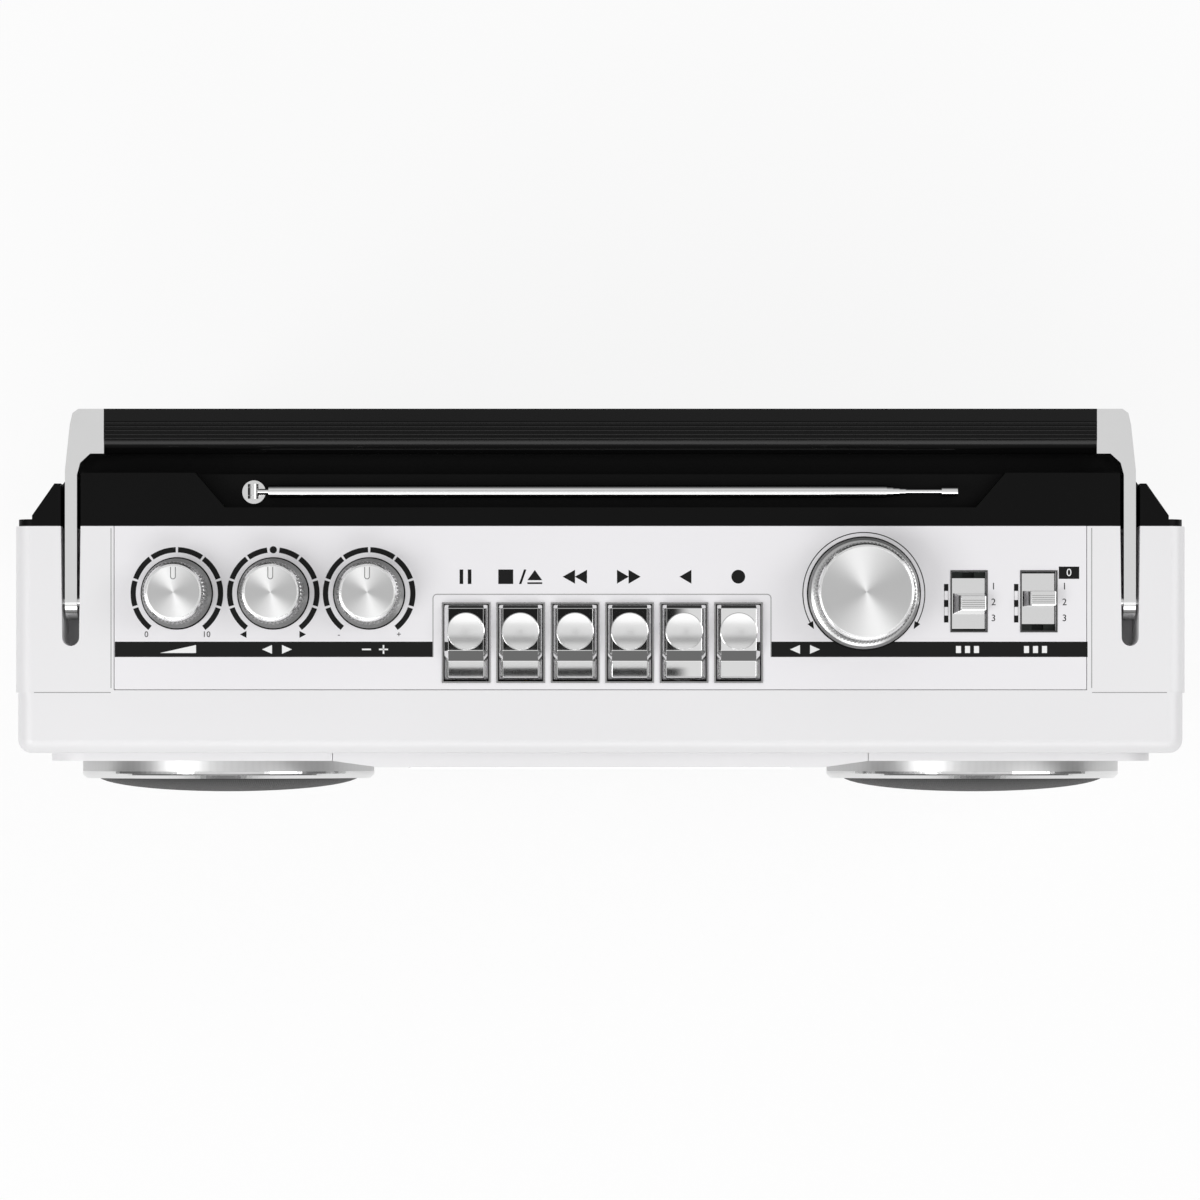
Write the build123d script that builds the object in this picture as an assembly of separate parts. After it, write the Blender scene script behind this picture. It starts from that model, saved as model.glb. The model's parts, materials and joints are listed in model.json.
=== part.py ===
from build123d import *
import math
import os

# A retro radio with a cassette deck, seen in the photograph from straight above.
# Y is measured here from the front plane of the front frame towards the rear, Z from the table up,
# and X to the right as the listener sees it. The finished pieces move to the middle of the footprint.

# Cabinet sizes, in millimetres
cabinet_width = 440.0
cabinet_height = 250.0
wall = 2.5
outline_radius = 6.0
foot_height = 5.0
foot_radius = 9.0
foot_x = 170.0
front_foot_y = 12.0
frame_depth = 22.7
frame_inset = 0.8
frame_front_round = 5.0
frame_front_wall = 3.0
housing_depth = 62.5
plate_half_width = 208.5
plate_thickness = 3.0
plate_margin = 10.0
plate_corner_radius = 14.0
fascia_half_width = 84.0
fascia_foot_half_width = 101.0
fascia_depth = 5.4
panel_half_width = 182.7
panel_thickness = 3.0
panel_front_strip = 0.9
panel_ledge = 4.0
seam = 0.25

# Rear cover sizes
rear_lip_inset = 1.0
rear_lip_depth = 2.6
rear_step_inset = 6.6
rear_side_slope = 0.7
rear_total_depth = 42.0
shoulder_depth = 20.0
grip_notch_drop = 23.0
rear_bottom_rise = 26.0
trough_front = 7.0
trough_drop = 10.5
trough_pivot_room = 10.3
trough_tip_room = 6.6
trough_slant = 12.0

# Handle sizes
handle_x = 198.9
handle_slot_width = 7.5
handle_slot_front_width = 6.4
handle_slot_front_y = 40.2
handle_slot_depth = 23.0
handle_pivot_y = 57.0
handle_pivot_drop = 8.0
handle_bar_width = 4.5
handle_bar_height = 14.0
handle_pin_radius = 2.0
handle_reach = 72.3
grip_half_length = 186.5
grip_depth = 16.8
grip_height = 19.0
grip_ridge_count = 5
grip_ridge_pitch = 1.45

# Loudspeaker sizes
speaker_x = 148.5
speaker_z = 138.0
ring_radius = 58.0
ring_width = 5.6
ring_lead = 10.0
dome_rise = 6.6
dome_thickness = 1.2
dome_steps = 12
woofer_flange_radius = 56.0
woofer_hole_radius = 48.0
woofer_magnet_radius = 33.0
woofer_magnet_depth = 16.0
woofer_depth = 50.0
cone_travel = 2.0

# Dial sizes
dial_half_width = 71.0
dial_low_z = 198.0
dial_high_z = 232.0
window_thickness = 1.8
pointer_half_travel = 50.0
rail_radius = 1.5

# Knob sizes
knob_row_y = 59.9
small_knob_x = (-159.0, -122.8, -86.8)
small_knob_base_radius = 13.1
small_knob_top_radius = 10.3
small_knob_height = 16.0
tuning_x = 98.9
tuning_knob_base_radius = 20.9
tuning_knob_top_radius = 17.4
tuning_knob_height = 19.0
knob_lift = 0.4
knob_flange = 2.2
shaft_radius = 3.0
tuning_turn_deg = 120.0
drum_height = 6.0

# Key sizes
key_count = 6
key_first_x = -50.4
key_pitch = 20.45
key_slot_width = 17.1
key_slot_front_y = 26.8
key_slot_length = 29.2
key_gap = 0.45
key_front_gap = 0.8
key_rise = 4.5
key_ledge_rise = 1.6
key_depth = 9.0
key_press_deg = 6.0
key_pivot_y = 74.0
key_pivot_drop = 7.5
key_shaft_radius = 1.5
key_tongue = 16.0

# Slide switch sizes
switch_x = (138.4, 164.6)
switch_slot_y = 56.95
switch_slot_width = 12.9
switch_slot_length = 22.2
band_rest_y = 56.2
function_rest_y = 58.0
slider_plate_length = 19.0
slider_nub_length = 5.4
slider_nub_width = 9.4
slider_nub_rise = 5.0
slider_nub_offset = 1.3
slider_stem_width = 3.8
slider_stem_length = 4.8
slider_stem_drop = 2.6

# Cassette deck sizes
door_half_width = 62.0
door_low_z = 93.0
door_high_z = 180.0
door_gap = 0.4
door_window_half_width = 44.0
door_window_low = 30.0
door_window_height = 42.0
door_window_rebate = 2.0
door_thickness = 3.0
door_pin_radius = 1.2
cassette_width = 102.0
cassette_height = 64.0
cassette_depth = 12.0
deck_plate_y = 14.0
deck_plate_thickness = 1.6
deck_half_width = 72.0
deck_low_z = 88.0
deck_high_z = 204.0
spindle_spacing = 42.5
spindle_tip_y = 5.0
capstan_x = 24.0
capstan_radius = 1.1
flywheel_radius = 20.0
motor_pulley_radius = 4.5
belt_section = 1.2
motor_radius = 13.0
motor_length = 24.0
head_travel = 4.0

# Antenna sizes
antenna_pivot_x = -130.7
antenna_y = 98.4
antenna_drop = 4.6
antenna_tube_start = 5.9
antenna_tube_length = 232.5
antenna_radii = (2.4, 2.05, 1.7, 1.35, 1.0)
antenna_wall = 0.3
antenna_ring_length = 2.4
antenna_tip_length = 6.0
antenna_tip_radius = 1.85
antenna_tip_gap = 13.5

# Battery bay and rear fittings
bay_low_z = 34.0
bay_height = 70.0
bay_wall = 1.5
inlet_edge_room = 27.3
socket_room = 14.5
inlet_z = 60.0
jack_offset = 20.0
jack_radius = 1.8
screw_edge_room = 9.8
screw_low_z = 52.0
screw_high_z = 222.0
post_radius = 4.5

# Smaller details
slot_wall = 1.5
screw_pilot_radius = 1.4
screw_radius = 1.3
screw_head_radius = 3.0
screw_head_y = 38.0
window_lip = 2.0
rail_drop = 11.0
rail_y = 12.0
rail_z = 241.0
memory_half_width = 7.0
memory_half_height = 3.5
memory_z = 60.0
memory_wall = 1.5
door_pivot_y = -3.0
door_pivot_z = 95.5
transformer_room = 42.0
transformer_core = (48.0, 32.0, 40.0)
transformer_coil = (30.0, 42.0, 28.0)
transformer_y = 56.0
transformer_pad = 2.0
board_thickness = 1.6
pot_board_z = 234.0
pot_board_room = 14.0
main_board_z = 212.0
switch_board_z = 243.0
switch_body_height = 5.0
switch_body_width = 14.0
switch_body_slot = 4.4
slider_plate = 1.9
capacitor_height = 12.0
board_low_x = 64.0
board_panel_room = 12.7
board_front_y = 34.0
capacitor_count = 3
capacitor_pitch = 9.0
capacitor_radius = 3.2
capacitor_room = 8.1
tuner_can_half = 11.0
board_post_radius = 3.0
switch_post_radius = 1.6
board_post_inset = 6.0
board_post_edge = 4.0
board_rear_post_y = 80.0
board_left_post_y = 42.0
board_right_post_y = 39.5
switch_post_room = 9.4
antenna_stub_radius = 3.0
bay_door_lap = 3.0
lid_lug_x = 60.0
lid_lug_half = 6.0
lid_rod_radius = 0.9
lid_rod_depth = 1.6
lid_rod_drop = 1.2
lid_room = 0.25
lid_bevel_depth = 1.5
lid_bevel_rise = 1.3
coil_radius = 12.5
grip_front_round = 6.5
grip_low_round = 4.0
spindle_shaft_radius = 1.5
flywheel_y = 23.0
motor_x = -30.0
motor_z = 112.0
belt_gap = 0.1
head_rest_z = 176.0
head_rivet_z = 189.0
head_rivet_x = 38.0
head_plate_half = 46.0
head_plate_height = 22.0
pinch_radius = 4.5
key_names = ("pause", "stop", "fast_forward", "rewind", "play", "record")

# Clearances
run_gap = 0.05
panel_gap = 0.5
free_gap = 0.3
fit_gap = 0.02

# Places that follow from the sizes
half = cabinet_width / 2
bottom_z = foot_height
top_z = foot_height + cabinet_height
housing_y = frame_depth
rear_y = frame_depth + housing_depth
back_y = rear_y + rear_total_depth
panel_under_z = top_z - panel_thickness
dome_front_y = -ring_lead - dome_rise + 1.0
rear_taper_y = rear_y + rear_lip_depth + 1.4
rear_back_x = half - rear_step_inset - rear_side_slope * (back_y - rear_taper_y)
screw_x = rear_back_x - screw_edge_room
inlet_x = rear_back_x - inlet_edge_room
jack_x = inlet_x - jack_offset
bay_half_width = jack_x - socket_room
transformer_x = screw_x - transformer_room
board_high_x = panel_half_width - board_panel_room
antenna_end = (antenna_pivot_x + antenna_tube_start + antenna_tube_length
               + (len(antenna_radii) - 2) * antenna_ring_length + antenna_tip_gap + antenna_tip_length)
trough_left = antenna_pivot_x - trough_pivot_room
trough_right = antenna_end + trough_tip_room
panel_front_open_y = key_slot_front_y - panel_gap
lid_pivot_y = back_y - lid_rod_depth
lid_pivot_z = bay_low_z - bay_door_lap - lid_rod_drop
panel_front_y = housing_y + panel_front_strip
handle_pivot_z = top_z - handle_pivot_drop
handle_back_y = handle_pivot_y + handle_reach
notch_y = rear_y + shoulder_depth
notch_z = top_z - grip_notch_drop
trough_y = rear_y + trough_front
trough_z = top_z - trough_drop
antenna_z = top_z - antenna_drop
key_pivot_z = top_z - key_pivot_drop
key_slot_back_y = key_slot_front_y + key_slot_length
spindle_z = door_low_z + 45.0
capstan_z = spindle_z + 28.0
pinch_z = capstan_z + capstan_radius + pinch_radius + head_travel + free_gap
play_x = key_first_x + 4 * key_pitch
drum_radius = pointer_half_travel / math.radians(tuning_turn_deg)
middle_y = (handle_back_y + dome_front_y) / 2


# Helpers for plain shapes
def block(x0, x1, y0, y1, z0, z1):
    return Pos((x0 + x1) / 2, (y0 + y1) / 2, (z0 + z1) / 2) * Box(x1 - x0, y1 - y0, z1 - z0)


def rod_z(x, y, z0, z1, radius):
    return Pos(x, y, (z0 + z1) / 2) * Cylinder(radius, z1 - z0)


def rod_y(x, z, y0, y1, radius):
    return Pos(x, (y0 + y1) / 2, z) * Rot(90, 0, 0) * Cylinder(radius, y1 - y0)


def rod_x(y, z, x0, x1, radius):
    return Pos((x0 + x1) / 2, y, z) * Rot(0, 90, 0) * Cylinder(radius, x1 - x0)


def plan(points, z0, z1):
    return extrude(Plane.XY.offset(z0) * make_face(Polyline(*points, close=True)), z1 - z0)


def side(points, x0, x1):
    return extrude(Plane.YZ.offset(x0) * make_face(Polyline(*points, close=True)), x1 - x0)


def front(points, y0, y1):
    return extrude(Plane.XZ.offset(-y1) * make_face(Polyline(*points, close=True)), y1 - y0)


def turned(points, x, y):
    return Pos(x, y, 0) * revolve(Plane.XZ * make_face(Polyline(*points, close=True)), Axis.Z)


def turned_to_rear(points, x, z):
    spun = revolve(Plane.XZ * make_face(Polyline(*points, close=True)), Axis.Z)
    return Pos(x, 0, z) * Rot(-90, 0, 0) * spun


def mirrored(shape):
    return mirror(shape, about=Plane.YZ)


def rounded_slab(half_width, z0, z1, y0, y1, radius):
    slab = block(-half_width, half_width, y0, y1, z0, z1)
    return fillet(slab.edges().filter_by(Axis.Y), radius)


def save(shape, name):
    export_step(Pos(0, -middle_y, 0) * shape, f"parts/{name}.step")


# Front of the cabinet
def fascia_outline(extra):
    return [
        (-fascia_foot_half_width - extra, 0.0),
        (-fascia_foot_half_width - extra, -plate_thickness),
        (-fascia_half_width, -fascia_depth),
        (fascia_half_width, -fascia_depth),
        (fascia_foot_half_width + extra, -plate_thickness),
        (fascia_foot_half_width + extra, 0.0),
    ]


def both_rings(y0, y1, radius):
    return rod_y(-speaker_x, speaker_z, y0, y1, radius) + rod_y(speaker_x, speaker_z, y0, y1, radius)


def door_opening(y0, y1):
    reach = door_half_width + door_gap
    return block(-reach, reach, y0, y1, door_low_z - 4 * door_gap, door_high_z + door_gap)


def dial_opening(y0, y1, margin, head_room):
    reach = dial_half_width + margin
    return block(-reach, reach, y0, y1, dial_low_z - margin, dial_high_z + margin + head_room)


def front_frame():
    width = half - frame_inset
    shell = rounded_slab(width, bottom_z, top_z, 0, frame_depth, outline_radius)
    shell = fillet(shell.edges().group_by(Axis.Y)[0], frame_front_round)
    inner_radius = outline_radius - wall
    cavity = rounded_slab(width - wall, bottom_z + wall, top_z - wall, frame_front_wall, frame_depth, inner_radius)
    shell = shell - cavity
    for x in (-screw_x, screw_x):
        for z in (screw_low_z, screw_high_z):
            post = rod_y(x, z, frame_front_wall, frame_depth + 8, post_radius)
            shell = shell + post - rod_y(x, z, frame_depth - 6, frame_depth + 8, screw_pilot_radius)
    shell = shell - both_rings(0, frame_front_wall, woofer_hole_radius)
    shell = shell - door_opening(0, frame_front_wall)
    for x in (-deck_half_width + 4, deck_half_width - 4):
        for z in (deck_low_z + 2, deck_high_z - 16):
            shell = shell + rod_y(x, z, frame_front_wall, deck_plate_y, 3.0)
    pocket_x = memory_half_width + memory_wall
    pocket_z = memory_half_height + memory_wall
    pocket = block(-pocket_x, pocket_x, frame_front_wall, frame_depth - 3, memory_z - pocket_z,
                   memory_z + pocket_z)
    slot = block(-memory_half_width, memory_half_width, 0, frame_depth - 3 - memory_wall,
                 memory_z - memory_half_height, memory_z + memory_half_height)
    return shell + pocket - slot - dial_opening(0, frame_front_wall, 0, rail_drop)


def front_plate():
    low, high = bottom_z + plate_margin, top_z - plate_margin
    plate = rounded_slab(plate_half_width, low, high, -plate_thickness, 0, plate_corner_radius)
    reach = fascia_foot_half_width + seam
    plate = plate - block(-reach, reach, -plate_thickness, 0, low + plate_margin, high)
    return plate - both_rings(-plate_thickness, 0, ring_radius + seam)


def centre_fascia():
    low = bottom_z + 2 * plate_margin + seam
    high = top_z - plate_margin
    raised = plan(fascia_outline(0), low, high)
    raised = raised - both_rings(-fascia_depth, 0, ring_radius + seam)
    raised = raised - door_opening(-fascia_depth, 0) - dial_opening(-fascia_depth, 0, 0, 0)
    rim = dial_opening(-fascia_depth + 1.0, 0, window_lip, 0)
    raised = raised - rim
    for sign in (-1, 1):
        inner = door_half_width + door_gap
        ends = sorted((sign * inner, sign * (inner + 3.5)))
        raised = raised - rod_x(door_pivot_y, door_pivot_z, *ends, door_pin_radius + run_gap)
    return raised - block(-memory_half_width, memory_half_width, -fascia_depth, 0, memory_z - memory_half_height,
                          memory_z + memory_half_height)


# Middle shell of the cabinet
def handle_slot(y0, y1, z0, z1):
    back = handle_slot_width / 2
    mouth = handle_slot_front_width / 2
    round_y = y0 + mouth
    shape = plan([(handle_x - mouth, round_y), (handle_x + mouth, round_y),
                  (handle_x + back, y1), (handle_x - back, y1)], z0, z1)
    return shape + rod_z(handle_x, round_y, z0, z1, mouth)


def panel_bay(y0, z0, margin):
    reach = panel_half_width - margin
    return block(-reach, reach, y0, rear_y, z0, top_z)


def main_housing():
    shell = rounded_slab(half, bottom_z, top_z, housing_y, rear_y, outline_radius)
    inner_radius = outline_radius - wall
    cavity = rounded_slab(half - wall, bottom_z + wall, top_z - panel_thickness - wall, housing_y, rear_y, inner_radius)
    floor_z = top_z - handle_slot_depth
    reach = handle_slot_width / 2 + slot_wall
    well = block(handle_x - reach, handle_x + reach, handle_slot_front_y - slot_wall, rear_y,
                 floor_z - slot_wall, top_z)
    wells = well + mirrored(well)
    shell = shell - (cavity - wells)
    slot = handle_slot(handle_slot_front_y, rear_y, floor_z, top_z)
    shell = shell - slot - mirrored(slot)
    shell = shell - panel_bay(panel_front_y, panel_under_z, 0)
    shell = shell - panel_bay(panel_front_open_y, panel_under_z - wall, panel_ledge)
    pin = rod_x(handle_pivot_y, handle_pivot_z, handle_x - reach, handle_x + reach, handle_pin_radius + fit_gap)
    shell = shell - pin - mirrored(pin)
    pad_x = transformer_core[0] / 2 + 6
    pad_y = transformer_coil[1] / 2 + 1
    rest = block(transformer_x - pad_x, transformer_x + pad_x, transformer_y - pad_y, transformer_y + pad_y,
                 bottom_z + wall, bottom_z + wall + transformer_pad)
    return shell + rest


def control_panel():
    reach = panel_half_width - seam
    panel = block(-reach, reach, panel_front_y + seam, rear_y, panel_under_z, top_z)
    for x in small_knob_x + (tuning_x,):
        panel = panel - rod_z(x, knob_row_y, panel_under_z, top_z, shaft_radius + free_gap)
    for index in range(key_count):
        x = key_first_x + index * key_pitch
        panel = panel - block(x - key_slot_width / 2, x + key_slot_width / 2, key_slot_front_y, key_slot_back_y,
                              panel_under_z, top_z)
    for x in switch_x:
        panel = panel - block(x - switch_slot_width / 2, x + switch_slot_width / 2,
                              switch_slot_y - switch_slot_length / 2, switch_slot_y + switch_slot_length / 2,
                              panel_under_z, top_z)
    middle = sum(switch_x) / 2
    left = board_low_x + board_post_inset
    for x, y in ((left, board_rear_post_y), (board_high_x - board_post_edge, board_rear_post_y),
                 (left, board_left_post_y), (middle, board_right_post_y)):
        panel = panel + rod_z(x, y, main_board_z + board_thickness, panel_under_z, board_post_radius)
    for x in (switch_x[0] - switch_post_room, middle, switch_x[1] + switch_post_room):
        panel = panel + rod_z(x, switch_slot_y, switch_board_z + board_thickness, panel_under_z,
                              switch_post_radius)
    return panel


# Rear shell of the cabinet
def rear_form(offset):
    side_x = half - rear_step_inset - offset
    back_x = rear_back_x - offset + rear_side_slope * offset
    back = back_y - offset
    seen_from_above = [(-side_x, rear_y), (side_x, rear_y), (side_x, rear_taper_y), (back_x, back),
                       (-back_x, back), (-side_x, rear_taper_y)]
    low = bottom_z + rear_step_inset + offset
    rise = low + rear_bottom_rise
    seen_from_side = [(rear_y, low), (rear_taper_y, low), (back, rise), (back, notch_z - offset),
                      (notch_y - offset, notch_z - offset), (notch_y - offset, top_z - offset),
                      (rear_y, top_z - offset)]
    return plan(seen_from_above, 0, top_z + 1) & side(seen_from_side, -half, half)


def trough(y_margin, z_margin):
    left, right = trough_left - y_margin, trough_right + y_margin
    deep = trough_y - y_margin
    return plan([(left, deep), (right, deep), (right + trough_slant, notch_y + 1),
                 (left - trough_slant, notch_y + 1)], trough_z - z_margin, top_z + 1)


def battery_box(margin):
    return block(-bay_half_width - margin, bay_half_width + margin, rear_y + 2 + bay_wall - margin, back_y,
                 bay_low_z - margin, bay_low_z + bay_height + margin)


def door_seat(margin):
    reach = bay_half_width + bay_door_lap + margin
    return block(-reach, reach, back_y - wall, back_y, bay_low_z - bay_door_lap - margin,
                 bay_low_z + bay_height + bay_door_lap + margin)


def rear_cover():
    lip = rounded_slab(half - rear_lip_inset, bottom_z + rear_lip_inset, top_z - 0.2, rear_y,
                       rear_y + rear_lip_depth, outline_radius)
    shell = rear_form(0) + lip
    reach = handle_slot_width / 2 + slot_wall
    well_low = top_z - handle_slot_depth - slot_wall
    well = block(handle_x - reach, handle_x + reach, rear_y, notch_y, well_low, top_z + 1)
    seat = block(-bay_half_width - 8, bay_half_width + 8, back_y - 2 * wall, back_y, bay_low_z - 8,
                 bay_low_z + bay_height + 8)
    solid_parts = trough(wall, wall) + well + mirrored(well) + battery_box(bay_wall) + seat
    shell = shell - (rear_form(wall) - solid_parts)
    slot = block(handle_x - handle_slot_width / 2, handle_x + handle_slot_width / 2 + 12, notch_y - 4, back_y,
                 top_z - handle_slot_depth, top_z + 1)
    slot = slot + block(handle_x - handle_slot_width / 2, handle_x + handle_slot_width / 2, rear_y, back_y,
                        top_z - handle_slot_depth, top_z + 1)
    shell = shell - slot - mirrored(slot) - trough(0, 0) - battery_box(0) - door_seat(seam) - door_lugs(lid_room, back_y)
    for x in (-screw_x, screw_x):
        for z in (screw_low_z, screw_high_z):
            post = rod_y(x, z, frame_depth + 8, back_y - wall, post_radius)
            shell = shell + post - rod_y(x, z, frame_depth + 8, back_y, screw_radius + free_gap)
            shell = shell - rod_y(x, z, screw_head_y, back_y, screw_head_radius + free_gap)
    shell = shell - rod_z(antenna_pivot_x, antenna_y, trough_z - 20, trough_z + 1, antenna_stub_radius + fit_gap)
    shell = shell - block(inlet_x - 7, inlet_x + 7, back_y - wall, back_y, inlet_z - 4.5, inlet_z + 4.5)
    return shell - rod_y(jack_x, inlet_z, back_y - wall, back_y, 2 * jack_radius)


def door_lugs(margin, web_back_y):
    shape = Part()
    for x in (-lid_lug_x, lid_lug_x):
        x0, x1 = x - lid_lug_half - margin, x + lid_lug_half + margin
        shape = shape + rod_x(lid_pivot_y, lid_pivot_z, x0, x1, lid_rod_radius + margin)
        shape = shape + block(x0, x1, lid_pivot_y - lid_rod_radius - margin, web_back_y, lid_pivot_z,
                              bay_low_z - bay_door_lap)
    return shape


def battery_door():
    low = bay_low_z - bay_door_lap
    bevel = side([(back_y - lid_bevel_depth, low), (back_y, low), (back_y, low + lid_bevel_rise)],
                 -bay_half_width - bay_door_lap, bay_half_width + bay_door_lap)
    return door_seat(0) - bevel + door_lugs(0, lid_pivot_y + lid_rod_radius)


def feet():
    shapes = []
    for x in (-foot_x, foot_x):
        for y in (front_foot_y, rear_y - front_foot_y):
            shapes.append(rod_z(x, y, 0, foot_height, foot_radius))
    return Compound(children=shapes)


def case_screws():
    shapes = []
    for x in (-screw_x, screw_x):
        for z in (screw_low_z, screw_high_z):
            head = rod_y(x, z, screw_head_y, screw_head_y + 2.4, screw_head_radius)
            shapes.append(head + rod_y(x, z, frame_depth - 4, screw_head_y, screw_radius))
    return Compound(children=shapes)


# Loudspeakers
def speaker_ring(x):
    inner = ring_radius - ring_width
    section = [(inner, -0.0), (ring_radius, -0.0), (ring_radius, -ring_lead + 1.6), (ring_radius - 1.6, -ring_lead),
               (inner + 1.0, -ring_lead), (inner, -ring_lead + 1.0)]
    return turned_to_rear(section, x, speaker_z)


def dome_line(rim, rise):
    angles = [math.radians(90 * step / dome_steps) for step in range(dome_steps + 1)]
    return [(rim * math.cos(angle), -rise * math.sin(angle)) for angle in angles[:-1]] + [(0, -rise)]


def speaker_grille(x):
    rim = ring_radius - ring_width - fit_gap
    outside = dome_line(rim, dome_rise)
    inside = dome_line(rim - dome_thickness, dome_rise - dome_thickness)
    skirt = ring_lead - 1.0
    outline = [(rim, skirt)] + outside + inside[::-1] + [(rim - dome_thickness, skirt)]
    points = [(radius, along - skirt) for radius, along in outline]
    return turned_to_rear(points, x, speaker_z)


def woofer_frame(x):
    front_y = frame_front_wall
    magnet_y = front_y + woofer_depth - woofer_magnet_depth
    basket = [(woofer_hole_radius, front_y), (woofer_flange_radius, front_y), (woofer_flange_radius, front_y + 2),
              (woofer_hole_radius + 3, front_y + 2), (woofer_magnet_radius - 4, magnet_y - 1),
              (woofer_magnet_radius, magnet_y), (woofer_magnet_radius, magnet_y + woofer_magnet_depth),
              (0, magnet_y + woofer_magnet_depth), (0, magnet_y + woofer_magnet_depth - 2),
              (coil_radius + 1.2, magnet_y + woofer_magnet_depth - 2), (coil_radius + 1.2, magnet_y + 1.5),
              (woofer_magnet_radius - 7, magnet_y + 1.5), (woofer_hole_radius + 0.5, front_y + 3)]
    pole = rod_y(x, speaker_z, magnet_y, magnet_y + woofer_magnet_depth, coil_radius - 1.4)
    return turned_to_rear(basket, x, speaker_z) + pole


def woofer_cone(x):
    front_y = frame_front_wall
    magnet_y = front_y + woofer_depth - woofer_magnet_depth
    rim = woofer_hole_radius - free_gap
    cone = [(rim, front_y), (rim, front_y + 1), (rim - 2, front_y + 1), (coil_radius + 0.5, magnet_y - 6),
            (coil_radius + 0.5, magnet_y + woofer_magnet_depth - 2 - cone_travel - 1),
            (coil_radius - 0.5, magnet_y + woofer_magnet_depth - 2 - cone_travel - 1),
            (coil_radius - 0.5, magnet_y - 8), (rim - 4, front_y)]
    cap = rod_y(x, speaker_z, magnet_y - 8, magnet_y - 6.5, coil_radius - 0.4)
    return turned_to_rear(cone, x, speaker_z) + cap


# Tuning dial behind its window
def dial_window():
    return dial_opening(-fascia_depth + 1.0, -fascia_depth + 1.0 + window_thickness, window_lip - free_gap, 0)


def dial_scale():
    y0 = frame_front_wall
    reach = dial_half_width + 5
    plate = block(-reach, reach, y0, y0 + 1.2, dial_low_z - 6, dial_high_z - 1)
    for sign in (-1, 1):
        x0, x1 = sorted((sign * (dial_half_width + 1), sign * reach))
        ear = block(x0, x1, y0, rail_y + 3, dial_high_z - 8, rail_z + 3)
        plate = plate + ear
    rail = rod_x(rail_y, rail_z, -dial_half_width - 2, dial_half_width + 2, rail_radius)
    return plate + rail


def dial_pointer():
    slider = block(-6, 6, rail_y - 3, rail_y + 3, rail_z - 2.6, rail_z + 2.6)
    arm = block(-2.5, 2.5, 0.9, rail_y - 2, rail_z - 1.2, rail_z + 0.4)
    needle = block(-0.7, 0.7, 0.9, 1.7, dial_low_z + 2, rail_z)
    return slider + arm + needle - rod_x(rail_y, rail_z, -6, 6, rail_radius + run_gap)


# Rotary controls
def knob(x, base_radius, top_radius, height):
    z0 = top_z + knob_lift
    section = [(0, z0), (base_radius, z0), (base_radius, z0 + knob_flange * 0.55), (base_radius - 1.0, z0 + knob_flange),
               (top_radius + 1.2, z0 + knob_flange + 0.6), (top_radius + 0.6, z0 + height - 1.2),
               (top_radius, z0 + height), (0, z0 + height)]
    return turned(section, x, knob_row_y)


def small_knob(x):
    body = knob(x, small_knob_base_radius, small_knob_top_radius, small_knob_height)
    mark_y = knob_row_y + small_knob_top_radius - 2.4
    mark = block(x - 0.8, x + 0.8, mark_y - 2.2, mark_y + 3, top_z + small_knob_height - 0.4,
                 top_z + knob_lift + small_knob_height + 1)
    shaft = rod_z(x, knob_row_y, pot_board_z + board_thickness + 3, top_z + knob_lift, shaft_radius)
    return body - mark + shaft


def tuning_knob():
    body = knob(tuning_x, tuning_knob_base_radius, tuning_knob_top_radius, tuning_knob_height)
    return body + rod_z(tuning_x, knob_row_y, main_board_z + board_thickness + 4, top_z + knob_lift, shaft_radius)


def tuning_drum():
    z0 = main_board_z + board_thickness + capacitor_height + 4
    drum = rod_z(tuning_x, knob_row_y, z0, z0 + drum_height, drum_radius)
    groove = rod_z(tuning_x, knob_row_y, z0 + 1.5, z0 + drum_height - 1.5, drum_radius)
    groove = groove - rod_z(tuning_x, knob_row_y, z0 + 1.5, z0 + drum_height - 1.5, drum_radius - 1.5)
    return drum - groove - rod_z(tuning_x, knob_row_y, z0, z0 + drum_height, shaft_radius + fit_gap)


def pot_board():
    low, high = min(small_knob_x) - pot_board_room, max(small_knob_x) + pot_board_room
    board = block(low, high, knob_row_y - 13, knob_row_y + 13, pot_board_z, pot_board_z + board_thickness)
    can_z = pot_board_z + board_thickness
    for x in small_knob_x:
        board = board + rod_z(x, knob_row_y, can_z, can_z + 8, 8.0)
        board = board + rod_z(x, knob_row_y, can_z + 8, panel_under_z, 4.5)
        board = board - rod_z(x, knob_row_y, can_z + 2, panel_under_z, shaft_radius + run_gap)
    return board


def main_board():
    top = main_board_z + board_thickness
    board = block(board_low_x, board_high_x, board_front_y, rear_y - 1, main_board_z, top)
    can = block(tuning_x - tuner_can_half, tuning_x + tuner_can_half, knob_row_y - tuner_can_half,
                knob_row_y + tuner_can_half, top, top + capacitor_height)
    can = can - rod_z(tuning_x, knob_row_y, top + 2, top + capacitor_height, shaft_radius + run_gap)
    board = board + can
    for index in range(capacitor_count):
        x = tuning_x + tuner_can_half + capacitor_room + index * capacitor_pitch
        board = board + rod_z(x, board_front_y + capacitor_height, top, top + capacitor_height - 1,
                              capacitor_radius)
    chip_x = tuning_x + tuner_can_half + capacitor_room
    return board + block(chip_x, chip_x + 2 * capacitor_pitch, knob_row_y - 6, knob_row_y + 6, top, top + 3)


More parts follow.
